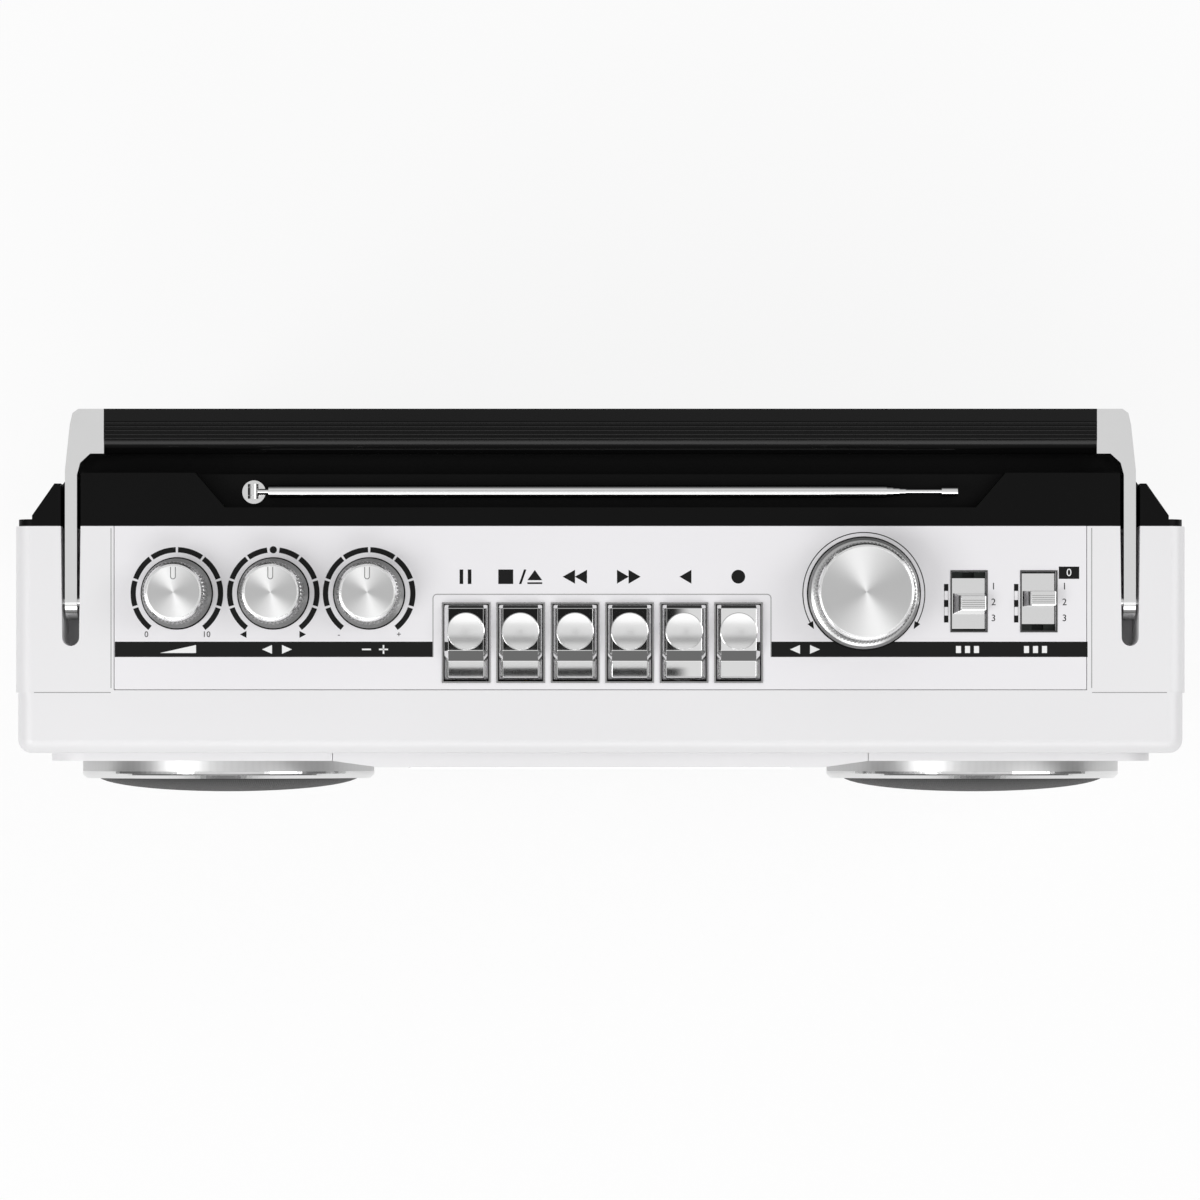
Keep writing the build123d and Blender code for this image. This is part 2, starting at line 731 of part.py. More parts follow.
# Slide switches
def switch_board():
    low, high = switch_x[0] - switch_post_room - 2, switch_x[1] + switch_post_room + 2
    y0 = switch_slot_y - switch_slot_length / 2 - 2
    y1 = switch_slot_y + switch_slot_length / 2 + 2
    top = switch_board_z + board_thickness
    board = block(low, high, y0, y1, switch_board_z, top)
    for x in switch_x:
        reach = switch_body_width / 2
        board = board + block(x - reach, x + reach, y0 + 1, y1 - 1, top, top + switch_body_height)
        reach = switch_body_slot / 2
        board = board - block(x - reach, x + reach, y0 + 2, y1 - 2, top + 1.5, top + switch_body_height)
    return board


def slider(x, y):
    z0 = switch_board_z + board_thickness + switch_body_height + free_gap
    reach_x = switch_slot_width / 2 - free_gap
    reach_y = slider_plate_length / 2
    plate = block(x - reach_x, x + reach_x, y - reach_y, y + reach_y, z0, z0 + slider_plate)
    nub_x = x + slider_nub_offset
    nub = block(nub_x - slider_nub_width / 2, nub_x + slider_nub_width / 2, y - slider_nub_length / 2,
                y + slider_nub_length / 2, z0 + slider_plate, top_z + slider_nub_rise)
    nub = fillet(nub.edges().filter_by(Axis.X).group_by(Axis.Z)[-1], 1.2)
    reach_x = slider_stem_width / 2
    reach_y = slider_stem_length / 2
    stem = block(x - reach_x, x + reach_x, y - reach_y, y + reach_y, z0 - slider_stem_drop, z0)
    return plate + nub + stem


# Piano keys
def deck_key(index):
    x = key_first_x + index * key_pitch
    half_width = key_slot_width / 2 - key_gap
    y0 = key_slot_front_y + key_front_gap
    y1 = key_slot_back_y - key_gap
    step_y = y0 + 0.385 * (y1 - y0)
    ledge_y = y0 + 0.24 * (y1 - y0)
    under = top_z - key_depth
    profile = [(y0, under), (y0, panel_under_z), (y0 + 0.5, top_z + key_ledge_rise), (ledge_y, top_z + key_ledge_rise),
               (step_y, top_z + key_rise), (y1 - 0.6, top_z + key_rise), (y1, top_z + key_rise - 0.6), (y1, under)]
    cap = side(profile, x - half_width, x + half_width)
    hub = rod_x(key_pivot_y, key_pivot_z, x - half_width, x + half_width, key_shaft_radius + 2)
    arm = block(x - half_width, x + half_width, y1 - 2, key_pivot_y, under, under + 3.4)
    tongue = block(x - 3, x + 3, y0 + 4, y0 + 7, under - key_tongue, under + 1)
    bore = rod_x(key_pivot_y, key_pivot_z, x - half_width, x + half_width, key_shaft_radius + run_gap)
    return cap + arm + hub + tongue - bore


def key_shaft():
    reach = key_pitch * (key_count - 1) / 2 + key_slot_width / 2 + 3
    middle = key_first_x + key_pitch * (key_count - 1) / 2
    shaft = rod_x(key_pivot_y, key_pivot_z, middle - reach, middle + reach, key_shaft_radius)
    for sign in (-1, 1):
        x0, x1 = sorted((middle + sign * (reach - 2), middle + sign * (reach + 2)))
        shaft = shaft + block(x0, x1, key_pivot_y - 4, key_pivot_y + 4, key_pivot_z - 4, panel_under_z)
    return shaft


# Cassette deck
def deck_chassis():
    plate = block(-deck_half_width, deck_half_width, deck_plate_y, deck_plate_y + deck_plate_thickness,
                  deck_low_z, deck_high_z)
    shelf_z = motor_z
    bracket = block(motor_x - 16, motor_x + 16, flywheel_y + 9, flywheel_y + 10.5, shelf_z - 16, shelf_z + 16)
    for dx in (-14, 14):
        for dz in (-14, 14):
            post = rod_y(motor_x + dx, shelf_z + dz, deck_plate_y + deck_plate_thickness, flywheel_y + 9, 1.8)
            bracket = bracket + post
    bracket = bracket - rod_y(motor_x, shelf_z, flywheel_y + 9, flywheel_y + 10.5, 3.0)
    chassis = plate + bracket
    for x in (-spindle_spacing / 2, spindle_spacing / 2):
        chassis = chassis + rod_y(x, spindle_z, deck_plate_y - 1, deck_plate_y + deck_plate_thickness + 3, 3.4)
        chassis = chassis - rod_y(x, spindle_z, deck_plate_y - 1, deck_plate_y + 8, spindle_shaft_radius + run_gap)
    for x in (-head_rivet_x, head_rivet_x):
        chassis = chassis + rod_y(x, head_rivet_z, deck_plate_y - 3.2, deck_plate_y - 2.0, 3.0)
        chassis = chassis + rod_y(x, head_rivet_z, deck_plate_y - 2.0, deck_plate_y, 1.4)
    bush = rod_y(capstan_x, capstan_z, deck_plate_y, flywheel_y - 0.6, 3.0)
    chassis = chassis + bush - rod_y(capstan_x, capstan_z, deck_plate_y - 1, flywheel_y, capstan_radius + run_gap)
    return chassis


def spindle(x):
    shaft = rod_y(x, spindle_z, spindle_tip_y, deck_plate_y + deck_plate_thickness + 5, spindle_shaft_radius)
    hub = rod_y(x, spindle_z, spindle_tip_y + 1, deck_plate_y - 1.4, 3.4)
    plate = rod_y(x, spindle_z, deck_plate_y - 2.8, deck_plate_y - 1.4, 9.0)
    shape = shaft + hub + plate
    for turn in range(3):
        rib = block(-0.6, 0.6, spindle_tip_y + 1, deck_plate_y - 2, 3.0, 4.6)
        shape = shape + Pos(x, 0, spindle_z) * Rot(0, 120 * turn, 0) * rib
    return shape + rod_y(x, spindle_z, deck_plate_y + deck_plate_thickness + 3.4, deck_plate_y + 6.6, 3.2)


def capstan():
    shaft = rod_y(capstan_x, capstan_z, spindle_tip_y, flywheel_y + 5, capstan_radius)
    return shaft + rod_y(capstan_x, capstan_z, flywheel_y, flywheel_y + 5, flywheel_radius)


def motor_pulley():
    return rod_y(motor_x, motor_z, flywheel_y, flywheel_y + 5, motor_pulley_radius) + rod_y(
        motor_x, motor_z, flywheel_y + 5, flywheel_y + 14, 1.0)


def deck_motor():
    y0 = flywheel_y + 10.5
    body = rod_y(motor_x, motor_z, y0, y0 + motor_length, motor_radius)
    return body - rod_y(motor_x, motor_z, y0, y0 + 6, 1.0 + run_gap)


def belt_loop(extra):
    wheel = Pos(capstan_x, capstan_z) * Circle(flywheel_radius + extra)
    pulley = Pos(motor_x, motor_z) * Circle(motor_pulley_radius + extra)
    return make_hull(wheel.edges() + pulley.edges())


def drive_belt():
    outer = belt_loop(belt_gap + belt_section)
    inner = belt_loop(belt_gap)
    y1 = flywheel_y + 2.5 + belt_section
    return extrude(Plane.XZ.offset(-y1) * (outer - inner), 2 * belt_section)


def head_plate():
    y0, y1 = deck_plate_y - 1.8, deck_plate_y - 0.4
    plate = block(-head_plate_half, head_plate_half, y0, y1, head_rest_z + 4, head_rest_z + head_plate_height)
    for x in (-head_rivet_x, head_rivet_x):
        plate = plate - block(x - 1.6, x + 1.6, y0, y1, head_rivet_z - 1.7, head_rivet_z + 1.9 + head_travel)
    head = block(-6, 6, frame_front_wall + 0.6, y0, head_rest_z, head_rest_z + 10)
    arm = block(capstan_x - 5, capstan_x + 5, y0, y1, pinch_z - 3, head_rest_z + 10)
    pin = rod_y(capstan_x, pinch_z, frame_front_wall + 0.6, y1, 1.0)
    tongue_z = top_z - key_depth - key_tongue
    lift = block(play_x - 3, play_x + 3, y0, y1, head_rest_z + head_plate_height - 2, tongue_z - 0.8)
    foot = block(play_x - 3, play_x + 3, y0, key_slot_front_y + 10, tongue_z - 3, tongue_z - 0.8)
    return plate + head + arm + pin + lift + foot


def pinch_roller():
    y0, y1 = frame_front_wall + 1.0, deck_plate_y - 3
    return rod_y(capstan_x, pinch_z, y0, y1, pinch_radius) - rod_y(capstan_x, pinch_z, y0, y1, 1.0 + run_gap)


def cassette_door():
    y0, y1 = -fascia_depth, -fascia_depth + door_thickness
    door = block(-door_half_width, door_half_width, y0, y1, door_low_z, door_high_z)
    door = door - window_hole(y0, y1, 0) - window_hole(y0, y0 + 1.2, door_window_rebate)
    inside = cassette_width / 2 + 0.6
    for sign in (-1, 1):
        x0, x1 = sorted((sign * inside, sign * (inside + 1.6)))
        door = door + block(x0, x1, y1, y1 + cassette_depth + 1, door_low_z + 14, door_high_z - 12)
        x0, x1 = sorted((sign * (door_half_width - 1), sign * (door_half_width + 3)))
        door = door + rod_x(door_pivot_y, door_pivot_z, x0, x1, door_pin_radius)
    shelf = block(-inside - 1.6, inside + 1.6, y1, y1 + cassette_depth + 1, door_low_z + 14, door_low_z + 15.6)
    return door + shelf


def window_hole(y0, y1, margin):
    reach = door_window_half_width + margin
    low = door_low_z + door_window_low
    return block(-reach, reach, y0, y1, low - margin, low + door_window_height + margin)


def door_window():
    y0 = -fascia_depth + 0.2
    return window_hole(y0, y0 + 1.0, door_window_rebate - free_gap)


# Carrying handle, folded back
def handle_arm():
    outer = handle_x + handle_bar_width / 2
    inner = handle_x - handle_bar_width / 2
    front_of_grip = handle_back_y - grip_depth
    seen_from_above = [(inner, handle_pivot_y - handle_bar_height), (outer, handle_pivot_y - handle_bar_height),
                       (outer, notch_y + 1), (outer - 1.8, handle_back_y - 6), (outer - 2.8, handle_back_y - 1.6),
                       (outer - 5, handle_back_y), (grip_half_length, handle_back_y),
                       (grip_half_length, front_of_grip), (inner - 5, front_of_grip),
                       (inner - 1.2, front_of_grip - 3.5), (inner, front_of_grip - 8)]
    low = handle_pivot_z - handle_bar_height / 2
    high = handle_pivot_z + handle_bar_height / 2
    bar = plan(seen_from_above, low, high)
    ahead = block(inner, outer, handle_pivot_y - handle_bar_height, handle_pivot_y, low, high)
    bar = bar - ahead + rod_x(handle_pivot_y, handle_pivot_z, inner, outer, handle_bar_height / 2)
    reach = handle_slot_width / 2 + slot_wall
    return bar + rod_x(handle_pivot_y, handle_pivot_z, handle_x - reach, handle_x + reach, handle_pin_radius - run_gap)


def handle_grip():
    low = top_z - grip_height - 0.4
    high = top_z - 0.4
    grip = block(-grip_half_length, grip_half_length, handle_back_y - grip_depth, handle_back_y, low, high)
    along = grip.edges().filter_by(Axis.X)
    front_top = along.sort_by(Axis.Y)[:2].sort_by(Axis.Z)[-1]
    grip = fillet([front_top], grip_front_round)
    others = [edge for edge in grip.edges().filter_by(Axis.X) if abs(edge.center().Z - low) < 0.01]
    grip = fillet(others, grip_low_round)
    for index in range(grip_ridge_count):
        y = handle_back_y - 5.2 - index * grip_ridge_pitch
        grip = grip + rod_x(y, high - 0.3, -grip_half_length, grip_half_length, 0.6)
    return grip


# Telescopic antenna, lying in its trough
def antenna_base():
    stub = rod_z(antenna_pivot_x, antenna_y, trough_z - wall - 4, trough_z, antenna_stub_radius)
    nut = rod_z(antenna_pivot_x, antenna_y, trough_z - wall - 3, trough_z - wall, antenna_stub_radius + 1)
    collar = rod_z(antenna_pivot_x, antenna_y, trough_z, trough_z + 1.8, 4.4)
    shape = stub + nut + collar
    for sign in (-1, 1):
        y0, y1 = sorted((antenna_y + sign * 1.6, antenna_y + sign * 2.75))
        ear = block(antenna_pivot_x - 2, antenna_pivot_x + 2, y0, y1, trough_z + 1, antenna_z)
        shape = shape + ear + rod_y(antenna_pivot_x, antenna_z, y0, y1, 2.0)
    return shape + rod_y(antenna_pivot_x, antenna_z, antenna_y - 2.75, antenna_y + 2.75, 0.8)


def antenna_section(index):
    start = antenna_pivot_x + antenna_tube_start + index * 4
    end = antenna_pivot_x + antenna_tube_start + antenna_tube_length + index * antenna_ring_length
    radius = antenna_radii[index]
    if index == len(antenna_radii) - 1:
        rod_end = end - antenna_ring_length + antenna_tip_gap
        tip = rod_x(antenna_y, antenna_z, rod_end, rod_end + antenna_tip_length, antenna_tip_radius)
        return rod_x(antenna_y, antenna_z, start, rod_end, radius) + tip
    tube = rod_x(antenna_y, antenna_z, start, end, radius)
    if index > 0:
        return tube - rod_x(antenna_y, antenna_z, start, end, radius - antenna_wall)
    tube = tube - rod_x(antenna_y, antenna_z, start + 2, end, radius - antenna_wall)
    neck = rod_x(antenna_y, antenna_z, antenna_pivot_x, start, 1.0)
    knuckle = rod_y(antenna_pivot_x, antenna_z, antenna_y - 1.5, antenna_y + 1.5, 2.0)
    return tube + neck + knuckle - rod_y(antenna_pivot_x, antenna_z, antenna_y - 2, antenna_y + 2, 0.8 + run_gap)


# Power fittings
def battery_contacts():
    shapes = []
    for sign in (-1, 1):
        for row in (0.25, 0.75):
            z = bay_low_z + row * bay_height
            y = (rear_y + 2 + bay_wall + back_y) / 2
            x0, x1 = sorted((sign * bay_half_width, sign * (bay_half_width - 0.8)))
            plate = block(x0, x1, y - 10, y + 10, z - 10, z + 10)
            x0, x1 = sorted((sign * (bay_half_width - 0.8), sign * (bay_half_width - 4)))
            shapes.append(plate + rod_x(y, z, x0, x1, 5.0))
    return Compound(children=shapes)


def power_transformer():
    z0 = bottom_z + wall + transformer_pad
    middle_z = z0 + transformer_core[2] / 2
    core = Pos(transformer_x, transformer_y, middle_z) * Box(*transformer_core)
    return core + Pos(transformer_x, transformer_y, middle_z) * Box(*transformer_coil)


def rear_sockets():
    y1 = back_y - wall
    y0 = y1 - 16
    inlet = block(inlet_x - 10, inlet_x + 9, y0, y1, inlet_z - 8, inlet_z + 8)
    inlet = inlet - block(inlet_x - 6.5, inlet_x + 6.5, y0 + 2.5, y1, inlet_z - 4, inlet_z + 4)
    for dx in (-4.2, 4.2):
        inlet = inlet + rod_y(inlet_x + dx, inlet_z, y0 + 2, y0 + 9.5, 1.15)
    jack = block(jack_x - 5.5, jack_x + 6, y0, y1, inlet_z - 6, inlet_z + 6)
    jack = jack - rod_y(jack_x, inlet_z, y1 - 14, y1, jack_radius)
    return inlet + jack + block(jack_x - 5.5, inlet_x + 9, y0 - 1.6, y0, inlet_z - 8, inlet_z + 8)


def build():
    os.makedirs("parts", exist_ok=True)
    save(front_frame(), "front_frame")
    save(front_plate(), "front_plate")
    save(centre_fascia(), "centre_fascia")
    save(main_housing(), "main_housing")
    save(control_panel(), "control_panel")
    save(rear_cover(), "rear_cover")
    save(battery_door(), "battery_door")
    save(feet(), "rubber_feet")
    save(case_screws(), "case_screws")
    for side_name, x in (("left", -speaker_x), ("right", speaker_x)):
        save(speaker_ring(x), f"speaker_ring_{side_name}")
        save(speaker_grille(x), f"speaker_grille_{side_name}")
        save(woofer_frame(x), f"woofer_frame_{side_name}")
        save(woofer_cone(x), f"woofer_cone_{side_name}")
    save(dial_window(), "dial_window")
    save(dial_scale(), "dial_scale")
    save(dial_pointer(), "dial_pointer")
    for name, x in zip(("volume", "balance", "tone"), small_knob_x):
        save(small_knob(x), f"{name}_knob")
    save(pot_board(), "pot_board")
    save(tuning_knob(), "tuning_knob")
    save(tuning_drum(), "tuning_drum")
    save(main_board(), "main_board")
    save(switch_board(), "switch_board")
    save(slider(switch_x[0], band_rest_y), "band_slider")
    save(slider(switch_x[1], function_rest_y), "function_slider")
    for index, name in enumerate(key_names):
        save(deck_key(index), f"{name}_key")
    save(key_shaft(), "key_shaft")
    save(deck_chassis(), "deck_chassis")
    save(spindle(-spindle_spacing / 2), "left_spindle")
    save(spindle(spindle_spacing / 2), "right_spindle")
    save(capstan(), "capstan_flywheel")
    save(motor_pulley(), "motor_pulley")
    save(deck_motor(), "deck_motor")
    save(drive_belt(), "drive_belt")
    save(head_plate(), "head_plate")
    save(pinch_roller(), "pinch_roller")
    save(cassette_door(), "cassette_door")
    save(door_window(), "door_window")
    save(mirrored(handle_arm()), "handle_arm_left")
    save(handle_arm(), "handle_arm_right")
    save(handle_grip(), "handle_grip")
    save(antenna_base(), "antenna_base")
    for index in range(len(antenna_radii)):
        save(antenna_section(index), f"antenna_section_{index + 1}")
    save(battery_contacts(), "battery_contacts")
    save(power_transformer(), "power_transformer")
    save(rear_sockets(), "rear_sockets")


build()
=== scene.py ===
# %% [markdown]
# # A portable cassette radio, seen from above
#
# The model of the radio is loaded first and stays as it is. Every cell after that adds a finish to one of
# its parts, or a small piece that the plain model leaves out, such as printed marks or a knurled knob side.

# %% Load the radio
import json
import math

import bmesh
import bpy
import numpy as np
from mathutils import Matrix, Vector


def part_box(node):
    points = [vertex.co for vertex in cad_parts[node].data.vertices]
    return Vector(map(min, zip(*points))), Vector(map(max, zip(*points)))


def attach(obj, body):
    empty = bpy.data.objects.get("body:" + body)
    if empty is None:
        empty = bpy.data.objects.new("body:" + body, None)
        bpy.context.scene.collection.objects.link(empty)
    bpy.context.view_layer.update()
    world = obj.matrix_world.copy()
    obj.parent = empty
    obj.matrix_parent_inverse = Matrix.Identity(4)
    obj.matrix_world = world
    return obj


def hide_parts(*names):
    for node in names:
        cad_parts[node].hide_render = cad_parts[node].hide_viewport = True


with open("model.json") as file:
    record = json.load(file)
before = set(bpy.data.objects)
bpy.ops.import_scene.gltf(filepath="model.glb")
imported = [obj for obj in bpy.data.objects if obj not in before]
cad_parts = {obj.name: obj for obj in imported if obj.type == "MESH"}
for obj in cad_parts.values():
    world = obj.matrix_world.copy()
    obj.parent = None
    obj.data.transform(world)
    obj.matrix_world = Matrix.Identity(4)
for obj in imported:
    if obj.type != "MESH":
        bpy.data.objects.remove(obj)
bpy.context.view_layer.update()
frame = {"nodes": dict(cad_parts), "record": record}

MM = 0.001
nodes = frame["nodes"]

# %% [markdown]
# ## Places on the top of the radio
#
# The photograph looks straight down on the controls, so a place on the top is easy to name by its pixel
# there. The cabinet is 440 mm wide and 1172 pixels wide, and the front frame's face lies at pixel row 753.
# Two small functions turn pixels into metres in the radio's own frame.

# %% Places by pixel
CABINET_WIDTH_PX = 1172.0
MIDDLE_COLUMN = 600.4
FRONT_ROW = 753.0
cabinet_low, cabinet_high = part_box("main_housing")
PIXEL = (cabinet_high[0] - cabinet_low[0]) / CABINET_WIDTH_PX
FRONT_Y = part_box("front_frame")[0][1]
TOP_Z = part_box("control_panel")[1][2]


def at_x(column):
    """Metres to the right of the middle, from a column of the photograph."""
    return (column - MIDDLE_COLUMN) * PIXEL


def at_y(row):
    """Metres towards the rear, from a row of the photograph."""
    return FRONT_Y + (FRONT_ROW - row) * PIXEL


print("one pixel is", round(PIXEL / MM, 4), "mm")

# %% [markdown]
# ## Sums with shader sockets
#
# A finish is mostly arithmetic: a distance, a wave, a mask, a blend. Node by node that takes many lines, so
# this class lets Python's own signs build the Math nodes. `a * 3 + b` on two wires adds two nodes.

# %% A wire that can be added and multiplied
def join(tree, value, socket):
    """Puts a number, a colour or a wire into a socket."""
    if isinstance(value, Wire):
        tree.links.new(value.socket, socket)
    else:
        socket.default_value = value


class Wire:
    """The output of a node, with Python's signs as Math nodes."""

    def __init__(self, tree, socket):
        self.tree = tree
        self.socket = socket

    def math(self, operation, *others):
        node = self.tree.nodes.new("ShaderNodeMath")
        node.operation = operation
        for value, socket in zip((self, *others), node.inputs):
            join(self.tree, value, socket)
        return Wire(self.tree, node.outputs[0])

    def __add__(self, other):
        return self.math("ADD", other)

    __radd__ = __add__

    def __mul__(self, other):
        return self.math("MULTIPLY", other)

    __rmul__ = __mul__

    def __sub__(self, other):
        return self.math("SUBTRACT", other)

    def __rsub__(self, other):
        return (self * -1.0).math("ADD", other)

    def __truediv__(self, other):
        return self.math("DIVIDE", other)

    def __pow__(self, other):
        return self.math("POWER", other)

    def step(self, low, high):
        """0 below low, 1 above high, and smooth between."""
        node = self.tree.nodes.new("ShaderNodeMapRange")
        node.interpolation_type = "SMOOTHSTEP"
        for value, name in ((self, "Value"), (low, "From Min"), (high, "From Max")):
            join(self.tree, value, node.inputs[name])
        return Wire(self.tree, node.outputs[0])


class Finish:
    """One material: a Principled shader with constants, and wires for what changes over the surface."""

    def __init__(self, name, colour, roughness, metallic=0.0, **constants):
        self.material = bpy.data.materials.new(name)
        self.material.use_nodes = True
        self.tree = self.material.node_tree
        self.shader = self.tree.nodes["Principled BSDF"]
        self.set("Base Color", (*colour, 1.0))
        self.set("Roughness", roughness)
        self.set("Metallic", metallic)
        for key, value in constants.items():
            self.set(key.replace("_", " ").title().replace("Ior", "IOR"), value)

    def set(self, socket, value):
        join(self.tree, value, self.shader.inputs[socket])
        return self

    def node(self, kind, settings=None, output=0, **inputs):
        """Any node: its settings first, then its inputs by name, and one output as a wire."""
        node = self.tree.nodes.new(kind)
        for key, value in (settings or {}).items():
            setattr(node, key, value)
        for key, value in inputs.items():
            join(self.tree, value, node.inputs[key.replace("_", " ")])
        return Wire(self.tree, node.outputs[output])

    def place(self, centre=(0.0, 0.0, 0.0), turn=(0.0, 0.0, 0.0), scale=(1.0, 1.0, 1.0)):
        """Object coordinates, moved so that centre becomes zero, then turned and scaled."""
        here = self.node("ShaderNodeTexCoord", output=3)
        moved = self.node("ShaderNodeVectorMath", {"operation": "SUBTRACT"}, Vector=here)
        moved.socket.node.inputs[1].default_value = centre
        return self.node("ShaderNodeMapping", Vector=moved, Rotation=turn, Scale=scale)

    def parts(self, place):
        """The X, Y and Z of a place, as three wires."""
        first = self.node("ShaderNodeSeparateXYZ", Vector=place)
        outputs = first.socket.node.outputs
        return [Wire(self.tree, output) for output in outputs]

    def noise(self, place, size, detail=2.0):
        """Soft random values from 0 to 1 with features of about that size in metres."""
        return self.node("ShaderNodeTexNoise", Vector=place, Scale=1.0 / size, Detail=detail)

    def blend(self, share, first, second):
        """A colour between two colours."""
        node = self.tree.nodes.new("ShaderNodeMix")
        node.data_type = "RGBA"
        join(self.tree, share, node.inputs[0])
        join(self.tree, first, node.inputs[6])
        join(self.tree, second, node.inputs[7])
        return Wire(self.tree, node.outputs[2])

    def bump(self, height, depth):
        """Lets a height from 0 to 1 tilt the surface, depth metres deep."""
        return self.set("Normal", self.node("ShaderNodeBump", Height=height, Distance=depth, Strength=1.0))


def grey(value):
    return (value, value, value)


print("shader helpers ready")

# %% [markdown]
# ## Camera
#
# The camera hangs over the front edge of the radio and looks straight down: the front faces of the speaker
# rings are seen almost edge-on, so the lens stands right above them. A small shift of the lens brings the
# whole cabinet into the middle of the picture without tilting the view.

# %% Camera
FRAME_WIDTH_PX = 1200.0
CAMERA_HEIGHT = 1.8
NADIR_ROW = 740.0
SENSOR = 36.0
camera_data = bpy.data.cameras.new("top_camera")
camera = bpy.data.objects.new("top_camera", camera_data)
bpy.context.scene.collection.objects.link(camera)
camera_data.sensor_width = SENSOR
camera_data.lens = SENSOR * CAMERA_HEIGHT / (FRAME_WIDTH_PX * PIXEL)
camera_data.shift_y = (NADIR_ROW - FRAME_WIDTH_PX / 2) / FRAME_WIDTH_PX
camera.location = (at_x(FRAME_WIDTH_PX / 2), at_y(NADIR_ROW), TOP_Z + CAMERA_HEIGHT)
bpy.context.scene.camera = camera
bpy.context.scene.view_settings.view_transform = "Standard"
print("lens", round(camera_data.lens, 1), "mm")

# %% [markdown]
# ## Floor, world and lamps
#
# The radio stands on a plain white floor in soft studio light. The floor shows as white to the camera but
# keeps a little of the shadow. Flat chrome that faces up mirrors whatever hangs above it: dark gear with a
# gap in it in the studio of the photograph. So the world has a few patches overhead that only reflections
# see, a soft darker strip behind them and a brighter window in front of them.

# %% Studio
FLOOR_SIZE = 6.0
WORLD_LIGHT = 0.60
MIRROR_HIGH = 0.80
MIRROR_LOW = 0.16
FLOOR_GLOW = 0.85
PATCH_EDGE = 0.9


def add_object(name, data):
    made = bpy.data.objects.new(name, data)
    bpy.context.scene.collection.objects.link(made)
    return made


def mesh_from(name, points, faces):
    """A mesh object from arrays of points and faces, at the origin."""
    mesh = bpy.data.meshes.new(name)
    mesh.from_pydata([tuple(p) for p in np.asarray(points, float)], [], [tuple(map(int, f)) for f in faces])
    mesh.validate()
    mesh.update()
    return add_object(name, mesh)


def make_floor():
    reach = FLOOR_SIZE / 2
    corners = [(-reach, -reach, 0), (reach, -reach, 0), (reach, reach, 0), (-reach, reach, 0)]
    floor = mesh_from("floor", corners, [(0, 1, 2, 3)])
    finish = Finish("floor_white", grey(0.9), 0.9)
    tree = finish.tree
    glow = tree.nodes.new("ShaderNodeEmission")
    glow.inputs["Color"].default_value = (1, 1, 1, 1)
    mix = tree.nodes.new("ShaderNodeMixShader")
    path = tree.nodes.new("ShaderNodeLightPath")
    share = Wire(tree, path.outputs["Is Camera Ray"]) * FLOOR_GLOW
    join(tree, share, mix.inputs[0])
    tree.links.new(finish.shader.outputs[0], mix.inputs[1])
    tree.links.new(glow.outputs[0], mix.inputs[2])
    tree.links.new(mix.outputs[0], tree.nodes["Material Output"].inputs["Surface"])
    floor.data.materials.append(finish.material)


def mirror_slope(rear):
    """The slope at which a flat mirror, rear mm behind the front plane, looks up."""
    return (FRONT_Y + rear * MM - at_y(NADIR_ROW)) / CAMERA_HEIGHT


def make_world():
    """The camera sees white. Other rays see a plain level, and reflections see the patches and a dim horizon."""
    world = bpy.data.worlds.new("studio")
    bpy.context.scene.world = world
    world.use_nodes = True
    tree = world.node_tree
    background = tree.nodes["Background"]
    path = tree.nodes.new("ShaderNodeLightPath")
    coordinates = tree.nodes.new("ShaderNodeTexCoord")
    split = tree.nodes.new("ShaderNodeSeparateXYZ")
    tree.links.new(coordinates.outputs["Generated"], split.inputs[0])
    x, y, z = (Wire(tree, output) for output in split.outputs)
    lit = 1.0
    for middle_x, middle_y, half_x, half_y, taken in SKY_PATCHES:
        across = ((x - middle_x) / half_x).math("ABSOLUTE")
        along = ((y - middle_y) / half_y).math("ABSOLUTE")
        inside = (1 - across.math("MAXIMUM", along).step(PATCH_EDGE, 1.0)) * z.step(0.5, 0.6)
        lit = (1 - inside * taken) * lit
    camera_ray = Wire(tree, path.outputs["Is Camera Ray"])
    glossy_ray = Wire(tree, path.outputs["Is Glossy Ray"])
    overhead = z.step(0.25, 0.95) * (MIRROR_HIGH - MIRROR_LOW) + MIRROR_LOW
    level = glossy_ray * (lit * overhead) + (1 - glossy_ray) * WORLD_LIGHT
    join(tree, camera_ray.math("MAXIMUM", level), background.inputs["Strength"])
    background.inputs["Color"].default_value = (1, 1, 1, 1)


def soft_lamp(name, place, target, width, height, power):
    """A rectangular lamp at a place, turned towards the target."""
    light = bpy.data.lights.new(name, "AREA")
    light.shape = "RECTANGLE"
    light.size = width
    light.size_y = height
    light.energy = power
    lamp = add_object(name, light)
    lamp.location = place
    away = np.array(place) - np.array(target)
    lamp.rotation_euler = Vector(away).to_track_quat("Z", "Y").to_euler()


# Each patch of the sky: its middle and half size, as slopes to the right and to the rear of straight up, and
# the share of the light it takes away. The last one adds light.
SKY_PATCHES = ((-0.018, mirror_slope(60.0), 0.037, 0.0133, 0.98),
               (-0.018, mirror_slope(30.3), 0.037, 0.00095, 0.98),
               (0.0, 0.17, 0.35, 0.06, 0.62),
               (0.0, -0.24, 0.35, 0.12, -0.5))
make_floor()
make_world()
soft_lamp("left_softbox", (-1.3, -0.6, 1.9), (0, 0, 0.2), 1.0, 1.0, 14)
soft_lamp("right_softbox", (1.5, 0.3, 1.6), (0, 0, 0.2), 0.9, 1.2, 8)
soft_lamp("front_softbox", (0.1, -1.5, 2.0), (0, 0, 0.15), 1.4, 0.8, 9)

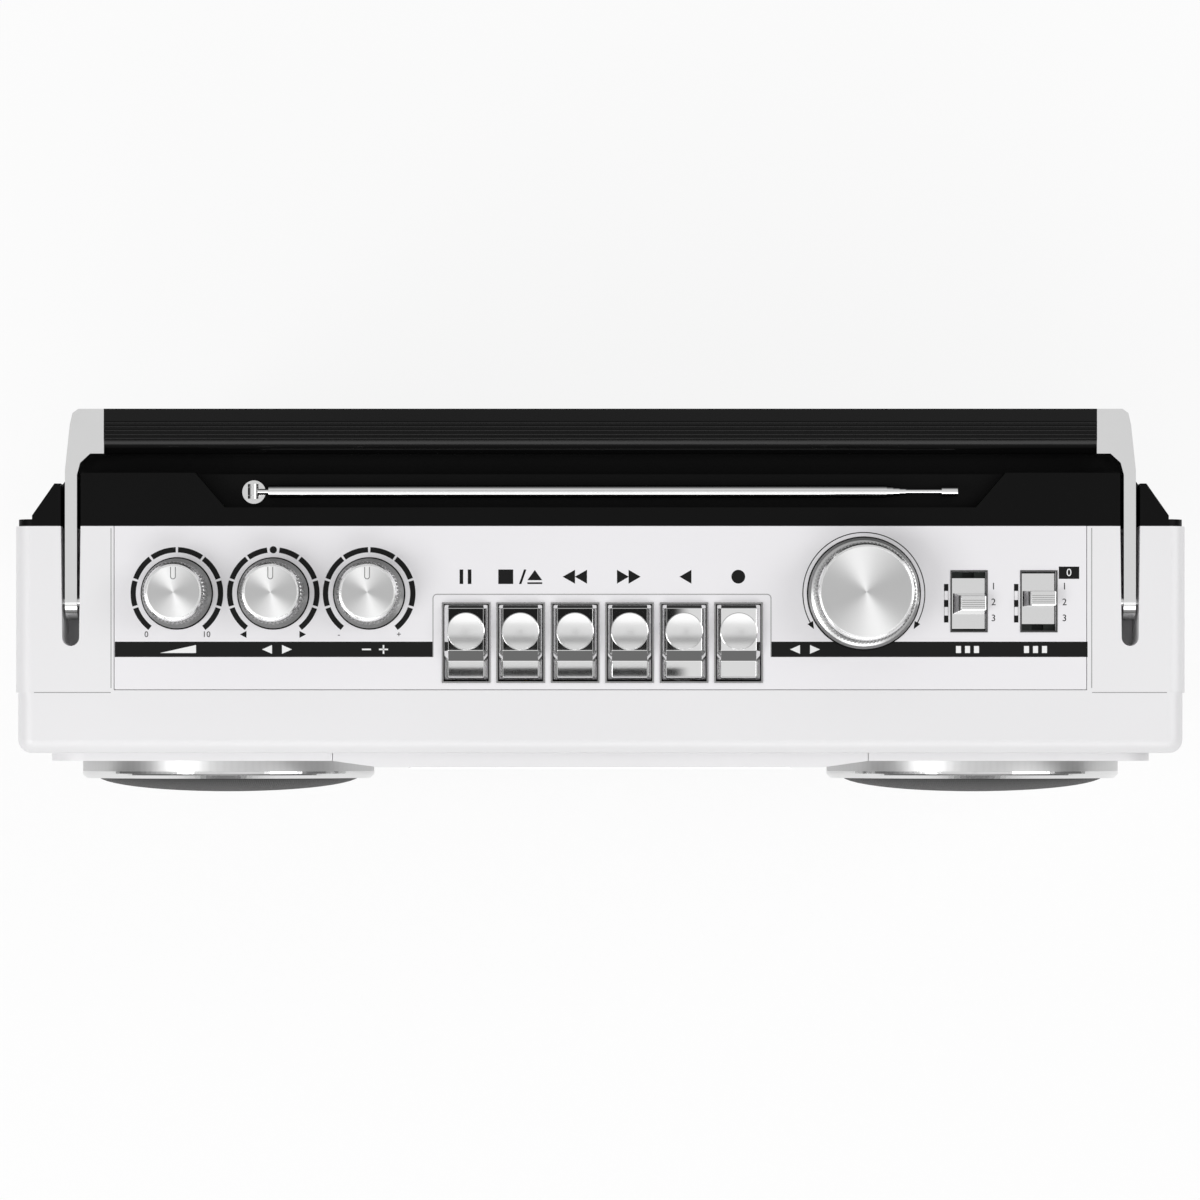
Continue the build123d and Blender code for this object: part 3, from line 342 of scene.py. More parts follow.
# %% [markdown]
# ## Finishes of the radio's own parts
#
# Every part of the radio names a slot, such as white plastic or chrome, and each slot gets one finish here.
# Moulded plastic is never perfectly even: a fine bump breaks up its shine, and a slow change of tone keeps a
# large white face from looking like paper. Brushed metal gets lines, woven cloth gets its threads.

# %% Plastics and rubber
DRIFT_SIZE = 0.09
DARKER_TONE = 0.955


def moulded(name, colour, roughness, grain, depth, **constants):
    """Moulded plastic: tone and gloss drift slowly, and a fine grain tilts the surface.

    The size and depth of the grain are in millimetres."""
    finish = Finish(name, colour, roughness, **constants)
    place = finish.place()
    drift = finish.noise(place, DRIFT_SIZE)
    darker = tuple(DARKER_TONE * part for part in colour)
    finish.set("Base Color", finish.blend(drift, (*darker, 1.0), (*colour, 1.0)))
    finish.set("Roughness", drift * 0.08 + (roughness - 0.04))
    return finish.bump(finish.noise(place, grain * MM, 3.0), depth * MM)


# Slot: colour, roughness, size of the grain and its depth, both in millimetres
PLASTICS = {
    "white_plastic": ((0.80, 0.795, 0.805), 0.34, 1.1, 0.012),
    "panel_white": ((0.83, 0.82, 0.84), 0.30, 0.9, 0.008),
    "rubber": (grey(0.02), 0.75, 1.2, 0.05),
    "paper": (grey(0.045), 0.85, 1.6, 0.08),
    "board_green": ((0.05, 0.19, 0.09), 0.45, 4.0, 0.02),
    "dial_face": ((0.022, 0.022, 0.026), 0.5, 0.9, 0.01),
    "pointer_red": ((0.62, 0.03, 0.02), 0.3, 4.0, 0.01),
}
finishes = {name: moulded(name, *values) for name, values in PLASTICS.items()}
finishes["black_plastic"] = moulded("black_plastic", grey(0.003), 0.38, 0.7, 0.02, specular_ior_level=0.08)
finishes["black_gloss"] = moulded("black_gloss", grey(0.003), 0.14, 12.0, 0.01, specular_ior_level=0.22)
print("moulded finishes:", sorted(finishes))

# %% Metals, glass and speaker cloth
SPEAKER_X, SPEAKER_Z = 148.5 * MM, 138 * MM


def polished(name, colour, roughness, smear, spread=0.10):
    """Plated or bare metal: faint smears change the gloss from place to place."""
    finish = Finish(name, colour, roughness, 1.0)
    cloud = finish.noise(finish.place(), smear, 3.0)
    finish.set("Roughness", cloud * spread + (roughness - 0.3 * spread))
    return finish


def turned_lines(name, colour, roughness, pitch):
    """Brushed rings: the distance from the nearer speaker's axis, in the X and Z plane, feeds a fine noise."""
    finish = Finish(name, colour, roughness, 1.0)
    x, _, z = finish.parts(finish.place((0.0, 0.0, SPEAKER_Z)))
    reach = x.math("ABSOLUTE") - SPEAKER_X
    radius = (reach * reach + z * z) ** 0.5
    rough = finish.node("ShaderNodeTexNoise", {"noise_dimensions": "1D"}, W=radius * (1.0 / pitch), Detail=2.0)
    finish.set("Roughness", rough * 0.25 + (roughness - 0.12))
    finish.set("Base Color", finish.blend(rough, (*grey(0.50), 1.0), (*colour, 1.0)))
    return finish.bump(rough, 0.00002)


def speaker_mesh(name, pitch):
    """Woven cloth: the product of a wave across X and a wave up Z is high on a thread and low in a gap."""
    finish = Finish(name, grey(0.02), 0.55)
    x, _, z = finish.parts(finish.place())
    turns = 2 * math.pi / pitch
    weave = ((x * turns).math("SINE") * (z * turns).math("SINE")).math("ABSOLUTE")
    thread = weave.step(0.05, 0.45)
    finish.set("Base Color", finish.blend(thread, (*grey(0.003), 1.0), (*grey(0.035), 1.0)))
    return finish.bump(thread, 0.0003)


finishes["chrome"] = polished("chrome", grey(0.80), 0.07, 0.02)
finishes["steel"] = polished("steel", (0.50, 0.50, 0.51), 0.30, 0.006)
finishes["brass"] = polished("brass", (0.70, 0.50, 0.22), 0.25, 0.006)
finishes["spun"] = polished("spun", grey(0.70), 0.28, 0.004)
finishes["brushed"] = turned_lines("brushed", grey(0.72), 0.34, 0.4 * MM)
finishes["dark_cloth"] = speaker_mesh("dark_cloth", 1.6 * MM)
clear = Finish("clear", (0.93, 0.95, 0.96), 0.04, transmission_weight=1.0, ior=1.35)
clear.set("Roughness", clear.noise(clear.place(), 0.02) * 0.05 + 0.01)
finishes["clear"] = clear
# Painted shade: a near-black green for the switch board, which lies in the dark under the slots, in place of its
# slot's finish
switch_board_painted_shade = moulded("switch_board_painted_shade", (0.006, 0.012, 0.008), 0.5, 4.0, 0.02)
subparts = frame["record"]["subparts"]
for part in subparts:
    # The switch board is seen through the slots from above, where the photograph shows only dark
    finish = switch_board_painted_shade if part["node"] == "switch_board" else finishes[part["material_slot"]]
    for place_on_mesh in nodes[part["node"]].material_slots:
        place_on_mesh.material = finish.material
print("finishes in use:", len({part["material_slot"] for part in subparts}))

# %% [markdown]
# ## Shapes from arrays
#
# Three helpers make almost every added piece. A turned surface spins a profile round an upright line, as on
# a lathe. A carried profile repeats a line of points across a second direction. A plate lifts a flat outline
# into a thin closed slab, which is how printed marks are made, so that they have an upper and an under side.

# %% Turned surfaces, strips and plates
def turned_piece(name, profile, centre, around=96, wave=None):
    """A lathe shape: each profile point (radius, height) goes round centre at equal angles.

    wave(angle) is added to the radius where the third number of a profile point is 1, to cut a knurl.
    The first and the last point have radius 0, so the surface closes at its poles."""
    profile = np.array([(*point, 0.0)[:3] for point in profile])
    angle = np.arange(around) * 2 * math.pi / around
    radius = profile[1:-1, 0][:, None] + np.zeros(around)
    if wave is not None:
        radius = radius + profile[1:-1, 2][:, None] * wave(angle)
    height = profile[1:-1, 1][:, None] + np.zeros(around)
    rings = np.stack([centre[0] + radius * np.cos(angle), centre[1] + radius * np.sin(angle), height], axis=-1)
    count = len(profile) - 2
    low = (centre[0], centre[1], profile[0, 1])
    high = (centre[0], centre[1], profile[-1, 1])
    points = np.concatenate([rings.reshape(-1, 3), [low, high]])
    row, column = np.meshgrid(np.arange(count - 1), np.arange(around), indexing="ij")
    after = (column + 1) % around
    quads = np.stack([row * around + column, row * around + after, (row + 1) * around + after,
                      (row + 1) * around + column], axis=-1).reshape(-1, 4)
    here = np.arange(around)
    following = (here + 1) % around
    last = (count - 1) * around
    bottom = np.stack([following, here, np.full(around, count * around)], axis=-1)
    top = np.stack([last + here, last + following, np.full(around, count * around + 1)], axis=-1)
    return mesh_from(name, points, [*quads, *bottom, *top])


def plate_parts(outline, low, high):
    """Points and faces of a slab: the outline (counter-clockwise) at height low and again at high."""
    outline = np.asarray(outline, float)
    count = len(outline)
    points = np.concatenate([np.column_stack([outline, np.full(count, height)]) for height in (low, high)])
    here = np.arange(count)
    after = (here + 1) % count
    sides = np.stack([here, after, count + after, count + here], axis=-1)
    return points, [here[::-1], count + here, *sides]


def merged(name, parts):
    """One mesh from many (points, faces) pairs: each pair's faces move on by the points before it."""
    points, faces, start = [], [], 0
    for part_points, part_faces in parts:
        points.append(part_points)
        faces += [np.asarray(face) + start for face in part_faces]
        start += len(part_points)
    return mesh_from(name, np.concatenate(points), faces)


def sector(centre, inner, outer, first, last, steps=14):
    """Outline of a piece of a ring. Angles count clockwise from the top, in degrees, first below last."""
    angle = np.radians(np.linspace(last, first, steps))
    rim = np.column_stack([np.sin(angle), np.cos(angle)])
    return np.concatenate([rim * outer, rim[::-1] * inner]) + np.asarray(centre)


def rectangle(x0, x1, y0, y1):
    return [(x0, y0), (x1, y0), (x1, y1), (x0, y1)]


def frame_outlines(x0, x1, y0, y1, thick):
    """Four bars round a rectangle: two along the first axis that take the corners, two between them."""
    return [rectangle(x0 - thick, x1 + thick, y0 - thick, y0), rectangle(x0 - thick, x1 + thick, y1, y1 + thick),
            rectangle(x0 - thick, x0, y0, y1), rectangle(x1, x1 + thick, y0, y1)]


def finish_piece(piece, body, finish):
    """Gives a piece its material, and says what it rides on."""
    piece.data.materials.append(finish.material)
    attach(piece, body)
    return piece


def behind(millimetres):
    """Metres in the radio's frame, from millimetres behind the front face."""
    return FRONT_Y + millimetres * MM


def middle_of(node):
    """The middle of a node's box, in X, Y and Z."""
    return [(low + high) / 2 for low, high in zip(*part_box(node))]


print("shape helpers ready")

# %% [markdown]
# ## Rotary knobs
#
# The knobs are turned from aluminium. Their sides are cut with fine grooves for the fingers and their flat
# tops are spun, which leaves circles too fine to see. Such a top shows a fan of light, brightest towards the
# front and the rear. An anisotropic metal gives that fan from the lamps. A painted sheen in the base colour
# keeps it where no lamp helps: lighter front and rear, darker at the sides, as (y y - x x) / (y y + x x) runs
# from -1 at the sides to 1 front and rear.

# %% Spun tops with a painted sheen, and grooved sides
def spun_top_painted_sheen(name, centre):
    finish = Finish(name, grey(0.75), 0.30, 1.0, anisotropic=0.75)
    x, y, _ = finish.parts(finish.place(centre))
    across, along = x * x, y * y
    # Painted sheen: the base colour is lighter front and rear and darker at the sides, like a fan of light
    painted_sheen_fan = ((along - across) / (along + across + 1e-9)) * 0.5 + 0.5
    rings = finish.node("ShaderNodeTexNoise", {"noise_dimensions": "1D"},
                        W=(across + along) ** 0.5 * 4000.0, Detail=1.0)
    # tone is mostly the painted sheen, with a fifth from the fine spun rings
    tone = (painted_sheen_fan * 0.8 + rings * 0.2).step(0.05, 0.95)
    return finish.set("Base Color", finish.blend(tone, (*grey(0.56), 1.0), (*grey(0.93), 1.0)))


def knurl(grooves, depth):
    """Radius against angle: a row of rounded ridges, depth times the absolute value of a sine."""
    return lambda angle: depth * np.abs(np.sin(angle * grooves / 2))


KNOB_STEPS = 128
POINTS_PER_GROOVE = 6
GROOVE_DEPTH = 0.55 * MM
knob_side = polished("knob_side", grey(0.55), 0.22, 0.003)
knob_lip = polished("knob_lip", grey(0.88), 0.16, 0.004)


def knob_dress(name, grooves, lip):
    """Grooved skirt, bright lip, spun disc with a painted sheen, and a painted shadow ring round one knob, all from
    the knob's own box.
    """
    low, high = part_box(f"{name}_knob")
    centre = tuple(middle_of(f"{name}_knob")[:2])
    foot, top = TOP_Z + 0.4 * MM, high[2]
    reach = (high[0] - low[0]) / 2
    rim = reach - lip
    skirt = [(0, foot + 2.3 * MM), (rim + 1.25 * MM, foot + 2.3 * MM, 0), (rim + 1.2 * MM, foot + 2.9 * MM, 1),
             (rim + 0.75 * MM, top - 1.9 * MM, 1), (rim + 0.6 * MM, top - 1.5 * MM, 0), (0, top - 1.5 * MM)]
    side = turned_piece(f"{name}_grooves", skirt, centre, grooves * POINTS_PER_GROOVE, knurl(grooves, GROOVE_DEPTH))
    finish_piece(side, name, knob_side)
    edge = [(0, top - 1.6 * MM), (rim + 0.75 * MM, top - 1.6 * MM), (rim + 0.75 * MM, top - 1.2 * MM),
            (rim + 0.2 * MM, top - 0.1 * MM), (rim - 0.3 * MM, top + 0.05 * MM), (0, top + 0.05 * MM)]
    finish_piece(turned_piece(f"{name}_lip", edge, centre, KNOB_STEPS), name, knob_lip)
    disc = [(0, top - 0.2 * MM), (rim - 0.5 * MM, top - 0.2 * MM), (rim - 0.5 * MM, top + 0.12 * MM),
            (rim - 0.7 * MM, top + 0.16 * MM), (0, top + 0.16 * MM)]
    finish_piece(turned_piece(f"{name}_spun_disc", disc, centre, KNOB_STEPS), name,
                 spun_top_painted_sheen(f"{name}_spun", (*centre, top)))
    low_ring, high_ring = TOP_Z + 0.1 * MM, TOP_Z + 0.3 * MM
    ring = [(0, low_ring), (reach + 0.5 * MM, low_ring), (reach + 0.5 * MM, high_ring), (0, high_ring)]
    finish_piece(turned_piece(f"{name}_shadow_ring", ring, centre, KNOB_STEPS), "cabinet",
                 finishes["black_plastic"])
    return centre, rim, top


small_knobs = {name: knob_dress(name, 48, 2.8 * MM) for name in ("volume", "balance", "tone")}
tuning_centre, _, _ = knob_dress("tuning", 84, 3.5 * MM)
print("knobs at", {name: [round(v / MM, 1) for v in knob[0]] for name, knob in small_knobs.items()})

# %% [markdown]
# Each small knob has a short pointer mark cut near its edge: a narrow U, open towards the rim. It is made of
# two thin bars and half a ring, dark because the cut holds shade.

# %% Pointer marks on the small knobs
MARK_LENGTH = 3.6 * MM
MARK_INNER, MARK_OUTER = 0.75 * MM, 1.05 * MM
mark_dark = moulded("mark_dark", grey(0.16), 0.4, 1.0, 0.01)
for name, (centre, rim, top) in small_knobs.items():
    x, y = centre
    reach = y + rim - 0.9 * MM
    foot = reach - MARK_LENGTH
    bars = [rectangle(x - MARK_OUTER, x - MARK_INNER, foot, reach),
            rectangle(x + MARK_INNER, x + MARK_OUTER, foot, reach),
            sector((x, foot), MARK_INNER, MARK_OUTER, 90, 270)]
    bars = [plate_parts(bar, top + 0.1 * MM, top + 0.2 * MM) for bar in bars]
    finish_piece(merged(f"{name}_mark", bars), name, mark_dark)

# %% [markdown]
# ## Piano keys
#
# Each key is a plated lever. Seen from the side it has a low ledge in front, a slanted step and a flat top
# with a shallow round dish for the fingertip. Its two long edges are bevelled. A height field gives all of
# this at once: the side view is carried across the width, and the outer columns drop by the bevel. The
# smooth top mirrors whatever is overhead, while the dish is satin.

# %% Keys with bevelled edges
KEY_NAMES = ("pause", "stop", "fast_forward", "rewind", "play", "record")
KEY_FRONT, KEY_BACK = 27.6, 55.55
KEY_FOOT, KEY_LEDGE, KEY_TOP = -8.5, 1.6, 4.5
# The side view: millimetres behind the front face, and above the panel
KEY_SIDE = [(KEY_FRONT, KEY_FOOT), (KEY_FRONT, 0.2), (28.6, KEY_LEDGE), (34.3, KEY_LEDGE), (34.5, KEY_LEDGE),
            (38.4, KEY_TOP), (38.6, KEY_TOP), (54.2, KEY_TOP), (KEY_BACK, 3.1), (KEY_BACK, KEY_FOOT)]
# The columns: millimetres from the key's middle, and the drop of the bevel there
KEY_COLUMNS = [(-8.1, None), (-8.1, 2.2), (-6.6, 0.0), (6.6, 0.0), (8.1, 2.2), (8.1, None)]
FAR_DROP = 99.0


def carried_profile(name, side_view, columns, middle_x, base):
    """Height field: point (x, y, z) has x from a column and y, z from the side view, less the column's drop.

    A column whose drop is None lies at the base height, so the piece gets upright sides."""
    side_view = np.array(side_view)
    x = middle_x + np.array([column[0] for column in columns]) * MM
    drop = np.array([column[1] if column[1] is not None else FAR_DROP for column in columns])
    height = np.maximum(side_view[:, 1][:, None] - drop, base)
    points = np.stack([np.broadcast_to(x, height.shape), np.broadcast_to(behind(side_view[:, :1]), height.shape),
                       TOP_Z + height * MM], axis=-1).reshape(-1, 3)
    wide, long = len(columns), len(side_view)
    row, column = np.meshgrid(np.arange(long - 1), np.arange(wide - 1), indexing="ij")
    first = (row * wide + column).ravel()
    quads = np.stack([first, first + 1, first + wide + 1, first + wide], axis=-1)
    border = np.concatenate([np.arange(long) * wide, (long - 1) * wide + np.arange(1, wide),
                             np.arange(long - 2, -1, -1) * wide + wide - 1, np.arange(wide - 2, 0, -1)])
    return mesh_from(name, points, [*quads, border])


def tidy_mesh(piece, bevel=None):
    """Merges doubled points, turns all faces outwards, and rounds the edges by the bevel width."""
    shape = bmesh.new()
    shape.from_mesh(piece.data)
    bmesh.ops.remove_doubles(shape, verts=shape.verts, dist=1e-7)
    bmesh.ops.dissolve_degenerate(shape, edges=shape.edges, dist=1e-7)
    bmesh.ops.recalc_face_normals(shape, faces=shape.faces)
    shape.to_mesh(piece.data)
    shape.free()
    if bevel:
        rounding = piece.modifiers.new("rounding", "BEVEL")
        rounding.width = bevel
        rounding.segments = 2
        rounding.limit_method = "ANGLE"
        rounding.angle_limit = math.radians(20)
    return piece


key_satin = polished("key_satin", grey(0.86), 0.17, 0.005, 0.03)
key_plate = polished("key_plate", grey(0.86), 0.012, 0.004, 0.004)
slot_dark = moulded("slot_dark", grey(0.05), 0.35, 1.0, 0.01)
DISH_RADIUS, DISH_DEPTH, DISH_CENTRE = 6.75, 0.55, 45.6
DISH_RIM, DISH_FOOT = KEY_TOP + 0.5, KEY_TOP - 0.1
for name in KEY_NAMES:
    middle = middle_of(f"{name}_key")[0]
    cap = carried_profile(f"{name}_key_cap", KEY_SIDE, KEY_COLUMNS, middle, KEY_FOOT)
    tidy_mesh(cap, 0.12 * MM)
    finish_piece(cap, f"{name}_key_body", key_plate)
    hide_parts(f"{name}_key")
    centre = (middle, behind(DISH_CENTRE))
    # The bowl's height grows with the square of the radius
    bowl = [(share * DISH_RADIUS, KEY_TOP + 0.08 + DISH_DEPTH * share ** 2) for share in np.linspace(0, 1, 9)]
    dish_profile = bowl + [(7.0, DISH_RIM), (7.05, DISH_FOOT), (0, DISH_FOOT)]
    dish_profile = [(radius * MM, TOP_Z + height * MM) for radius, height in dish_profile[::-1]]
    dish = turned_piece(f"{name}_key_dish", dish_profile, centre, 72)
    dish.data.polygons.foreach_set("use_smooth", [True] * len(dish.data.polygons))
    dish.data.set_sharp_from_angle(angle=math.radians(35))
    finish_piece(dish, f"{name}_key_body", key_satin)
print("keys dressed:", len(KEY_NAMES))

# %% [markdown]
# Around every key the slot has a thin dark lip, and the two slide switches have one too. A lip is a frame of
# four bars.

# %% Dark lips round the slots
LIP_WIDTH = 0.6 * MM
# A switch: the middle of its slot, where its nub rests and reaches to each side, and how far its ends slant
SWITCHES = {"band": (138.4, 56.2, 4.0, 1.25), "function": (164.6, 58.0, 3.0, 0.25)}


def slot_lips(name, middles, half_width, front, back, height, finish):
    """One piece with a frame round the slot at each of the middles, all else in millimetres."""
    parts = []
    for middle in middles:
        outlines = frame_outlines(middle - half_width * MM, middle + half_width * MM, behind(front), behind(back),
                                  LIP_WIDTH)
        parts += [plate_parts(outline, TOP_Z - 0.2 * MM, TOP_Z + height * MM) for outline in outlines]
    finish_piece(merged(name, parts), "cabinet", finish)


slot_lips("key_slot_lips", [middle_of(f"{name}_key")[0] for name in KEY_NAMES], 8.5, 26.9, 55.9, 0.45,
          polished("lip_metal", grey(0.32), 0.25, 0.01))
slot_lips("switch_slot_lips", [switch[0] * MM for switch in SWITCHES.values()], 6.4, 45.9, 68.0, 0.25,
          slot_dark)
print("slot lips done")

# %% [markdown]
# ## Slide switches
#
# The slider's nub is a hipped block, with a flat top and four slanted faces, and its top has fine grooves
# across it for the finger. The hipped block is two rectangles, one above the other, joined by four faces.

# %% Hipped nubs
def hipped(x0, x1, y0, y1, low, inset_left, inset_right, inset_ends, high):
    """Points and faces of a block whose upper rectangle is smaller than its lower one by the insets."""
    base = rectangle(x0, x1, y0, y1)
    top = rectangle(x0 + inset_left, x1 - inset_right, y0 + inset_ends, y1 - inset_ends)
    points = np.array([(*point, low) for point in base] + [(*point, high) for point in top])
    sides = [(i, (i + 1) % 4, 4 + (i + 1) % 4, 4 + i) for i in range(4)]
    return points, [np.array(face) for face in [(3, 2, 1, 0), (4, 5, 6, 7), *sides]]


NUB_LEFT, NUB_RIGHT = -5.9, 6.15
GROOVE_LEFT, GROOVE_RIGHT, GROOVE_WIDTH = -2.9, 5.6, 0.35
for name, (middle, rest, reach, slant) in SWITCHES.items():
    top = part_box(f"{name}_slider")[1][2]
    body = hipped((middle + NUB_LEFT) * MM, (middle + NUB_RIGHT) * MM, behind(rest - reach), behind(rest + reach),
                  TOP_Z - 3.2 * MM, 2.6 * MM, 0.1 * MM, slant * MM, top + 0.05 * MM)
    nub = tidy_mesh(merged(f"{name}_nub", [body]), 0.25 * MM)
    finish_piece(nub, name, finishes["chrome"])
    bars = [rectangle((middle + GROOVE_LEFT) * MM, (middle + GROOVE_RIGHT) * MM, behind(rest + at),
                      behind(rest + at + GROOVE_WIDTH)) for at in (-1.6, -0.8, 0.0, 0.8)]
    bars = [plate_parts(bar, top, top + 0.22 * MM) for bar in bars]
    finish_piece(merged(f"{name}_nub_grooves", bars), name, knob_side)
print("nubs done")

# %% [markdown]
# ## Printed marks on the panel
#
# The panel is printed in black: broad bands below the controls, segmented arcs round the knobs, a thin arc
# with arrowheads round the tuning knob, symbols over the keys and a rounded line round them. Where such a
# radio would carry words, this one has plain numbers and signs. Ink is a very thin slab that sits on the
# panel, so that it has edges and never flickers against the plastic.

# %% Bands, arcs and outlines
INK_LOW, INK_HIGH = TOP_Z - 0.05 * MM, TOP_Z + 0.04 * MM
ink = moulded("ink", grey(0.006), 0.5, 2.0, 0.004, specular_ior_level=0.15)
white_ink = moulded("white_ink", grey(0.85), 0.45, 2.0, 0.004)
grey_line = moulded("grey_line", grey(0.30), 0.5, 2.0, 0.004)


def printed(name, outlines, finish=ink, low=INK_LOW, high=INK_HIGH):
    """One printed piece from many flat outlines."""
    piece = tidy_mesh(merged(name, [plate_parts(outline, low, high) for outline in outlines]))
    return finish_piece(piece, "cabinet", finish)


def by_pixel(left, right, top, bottom):
    """A rectangle from columns and rows of the photograph."""
    return rectangle(at_x(left), at_x(right), at_y(bottom), at_y(top))


def polygon(*corners):
    """An outline from pixel corners, turned counter-clockwise if needed."""
    points = np.array([(at_x(x), at_y(y)) for x, y in corners])
    after = np.roll(points, -1, axis=0)
    area = (points[:, 0] * after[:, 1] - after[:, 0] * points[:, 1]).sum()
    return points if area > 0 else points[::-1]


def disc(centre, radius, steps=28):
    """Outline of a round dot."""
    angle = np.arange(steps) * 2 * math.pi / steps
    return np.column_stack([centre[0] + radius * np.cos(angle), centre[1] + radius * np.sin(angle)])


BAND_TOP, BAND_BOTTOM = 641.7, 657.0
printed("left_band", [by_pixel(114.8, 432.6, BAND_TOP, BAND_BOTTOM)])
printed("right_band", [by_pixel(771.4, 1087.6, BAND_TOP, BAND_BOTTOM)])

# Each small knob has eight arcs. The balance knob has a dot between the two arcs at the top.
ARC_INNER, ARC_OUTER = 15.4 * MM, 17.4 * MM
ARC_STOPS = [(-142, -109.5), (-106.5, -73.5), (-70.5, -37.5), (-34.5, -1.5),
             (1.5, 34.5), (37.5, 70.5), (73.5, 106.5), (109.5, 142)]
DOT_ROOM = 8
arcs = []
for name, (centre, _, _) in small_knobs.items():
    for first, last in ARC_STOPS:
        if name == "balance":
            first = DOT_ROOM if 0 < first < DOT_ROOM else first
            last = -DOT_ROOM if -DOT_ROOM < last < 0 else last
        arcs.append(sector(centre, ARC_INNER, ARC_OUTER, first, last))
balance_x, balance_y = small_knobs["balance"][0]
arcs.append(disc((balance_x, balance_y + (ARC_INNER + ARC_OUTER) / 2), 1.35 * MM))
printed("knob_arcs", arcs)

TUNING_ARC, TUNING_END, TUNING_LINE = 22.9 * MM, 120, 0.18 * MM
thin = [sector(tuning_centre, TUNING_ARC - TUNING_LINE, TUNING_ARC + TUNING_LINE, first, first + 24, 10)
        for first in range(-TUNING_END, TUNING_END, 24)]
for side in (-1, 1):
    angle = math.radians(side * TUNING_END)
    tip = np.array(tuning_centre) + TUNING_ARC * np.array([math.sin(angle), math.cos(angle)])
    ahead = np.array([math.cos(angle), -math.sin(angle)]) * side
    across = np.array([-ahead[1], ahead[0]])
    back = tip - ahead * 0.6 * MM
    thin.append([tip + ahead * 2.2 * MM, back + across * 1.2 * MM, back - across * 1.2 * MM])
printed("tuning_arc", thin)

# The line round the keys has two rounded upper corners of 4 pixels, and ends on the bands
HALF_LINE, CORNER = 0.45, 4
outline = [by_pixel(column - HALF_LINE, column + HALF_LINE, 598, BAND_BOTTOM) for column in (433, 771)]
outline.append(by_pixel(437, 767, 594.3 - HALF_LINE, 594.3 + HALF_LINE))
for column, first in ((437, -90), (767, 0)):
    outline.append(sector((at_x(column), at_y(598.3)), (CORNER - HALF_LINE) * PIXEL, (CORNER + HALF_LINE) * PIXEL,
                          first, first + 90, 8))
printed("key_outline", outline, grey_line)
printed("seam_lines", [by_pixel(110.6, 111.4, 528, 688), by_pixel(1091.3, 1092.1, 528, 688),
                       by_pixel(34, 110.6, 692.1, 692.9), by_pixel(1092.1, 1167, 692.1, 692.9)], grey_line)
print("bands, arcs and outlines printed")

# %% Symbols over the keys
SIGN_TOP, SIGN_MIDDLE, SIGN_BOTTOM = 569.5, 576.7, 584


def arrow(tip, back, middle, top, bottom):
    """A triangle that points to the side, from the column of its tip and that of its back."""
    return polygon((tip, middle), (back, top), (back, bottom))


pause = [by_pixel(left, left + 3.6, SIGN_TOP, SIGN_BOTTOM) for left in (459.6, 467.8)]
stop_and_eject = [by_pixel(498.3, 513.2, SIGN_TOP, SIGN_BOTTOM),
                  polygon((519, SIGN_BOTTOM), (521.4, SIGN_BOTTOM), (526.4, SIGN_TOP), (524, SIGN_TOP)),
                  polygon((534.8, 570), (542.2, 580.2), (527.4, 580.2)), by_pixel(527.4, 542.2, 582.3, SIGN_BOTTOM)]
ARROWS = ((562.7, 575), (574.8, 587), (628.8, 617), (640.6, 628.6), (679.6, 691.4))
wind_and_play = [arrow(tip, back, SIGN_MIDDLE, 569.8, 583.7) for tip, back in ARROWS]
record = [disc((at_x(738.3), at_y(SIGN_MIDDLE)), 6.9 * PIXEL)]
symbols = pause + stop_and_eject + wind_and_play + record
printed("key_symbols", symbols)
print("symbols:", len(symbols))

# %% [markdown]
# Numbers come from Blender's own font. A text curve becomes a mesh first, is moved to its place point by
# point, and only then gets its material, so that its object stays at the origin.

# %% Numbers and small signs
def number_parts(text, place, size, upright=False, thickness=0.09 * MM):
    """Points and faces of a text, centred on place: flat on the top, or standing up and facing the front."""
    curve = bpy.data.curves.new("number", "FONT")
    curve.body = text
    curve.size = size
    curve.align_x, curve.align_y = "CENTER", "CENTER"
    curve.extrude = thickness / 2
    curve.resolution_u = 4
    holder = bpy.data.objects.new("number", curve)
    mesh = bpy.data.meshes.new_from_object(holder)
    points = np.zeros(len(mesh.vertices) * 3)
    mesh.vertices.foreach_get("co", points)
    points = points.reshape(-1, 3)
    if upright:
        points = np.column_stack([points[:, 0], -points[:, 2], points[:, 1]])
    faces = [np.array(polygon.vertices[:]) for polygon in mesh.polygons]
    bpy.data.objects.remove(holder)
    bpy.data.curves.remove(curve)
    bpy.data.meshes.remove(mesh)
    return points + np.asarray(place), faces


def numbers(name, entries, size, finish, upright=False):
    """One piece from (text, place) pairs."""
    parts = [number_parts(text, place, size, upright) for text, place in entries]
    return finish_piece(tidy_mesh(merged(name, parts)), "cabinet", finish)


NUMBER_Z = TOP_Z + 0.005 * MM
KNOB_ENDS = (("0", 146.4), ("10", 206.4), ("-", 338.9), ("+", 398.9))
ends = [(text, (at_x(column), at_y(634.6), NUMBER_Z)) for text, column in KNOB_ENDS]
numbers("knob_end_numbers", ends, 3.1 * MM, ink)
printed("balance_signs", [arrow(240, 246.5, 634.4, 630.9, 637.9), arrow(306, 299.5, 634.4, 630.9, 637.9)])
steps = [(text, (at_x(column), at_y(row), NUMBER_Z)) for column in (993.5, 1064.5)
         for text, row in (("1", 586.5), ("2", 602.3), ("3", 618.3))]
numbers("switch_numbers", steps, 3.6 * MM, ink)
printed("zero_box", [by_pixel(1058.8, 1079.2, 566.6, 578.9)])
numbers("zero_number", [("0", (at_x(1069), at_y(572.8), INK_HIGH + 0.02 * MM))], 4.0 * MM, white_ink)
ticks = [by_pixel(left, left + 4.4, top, top + 7) for left in (944, 1014) for top in (584, 600, 615.5)]
printed("switch_ticks", ticks)
edges = [by_pixel(left, left + 0.5, 584, 622.5) for left in (944, 947.9, 1014, 1017.9)]
printed("switch_tick_edges", edges, grey_line)

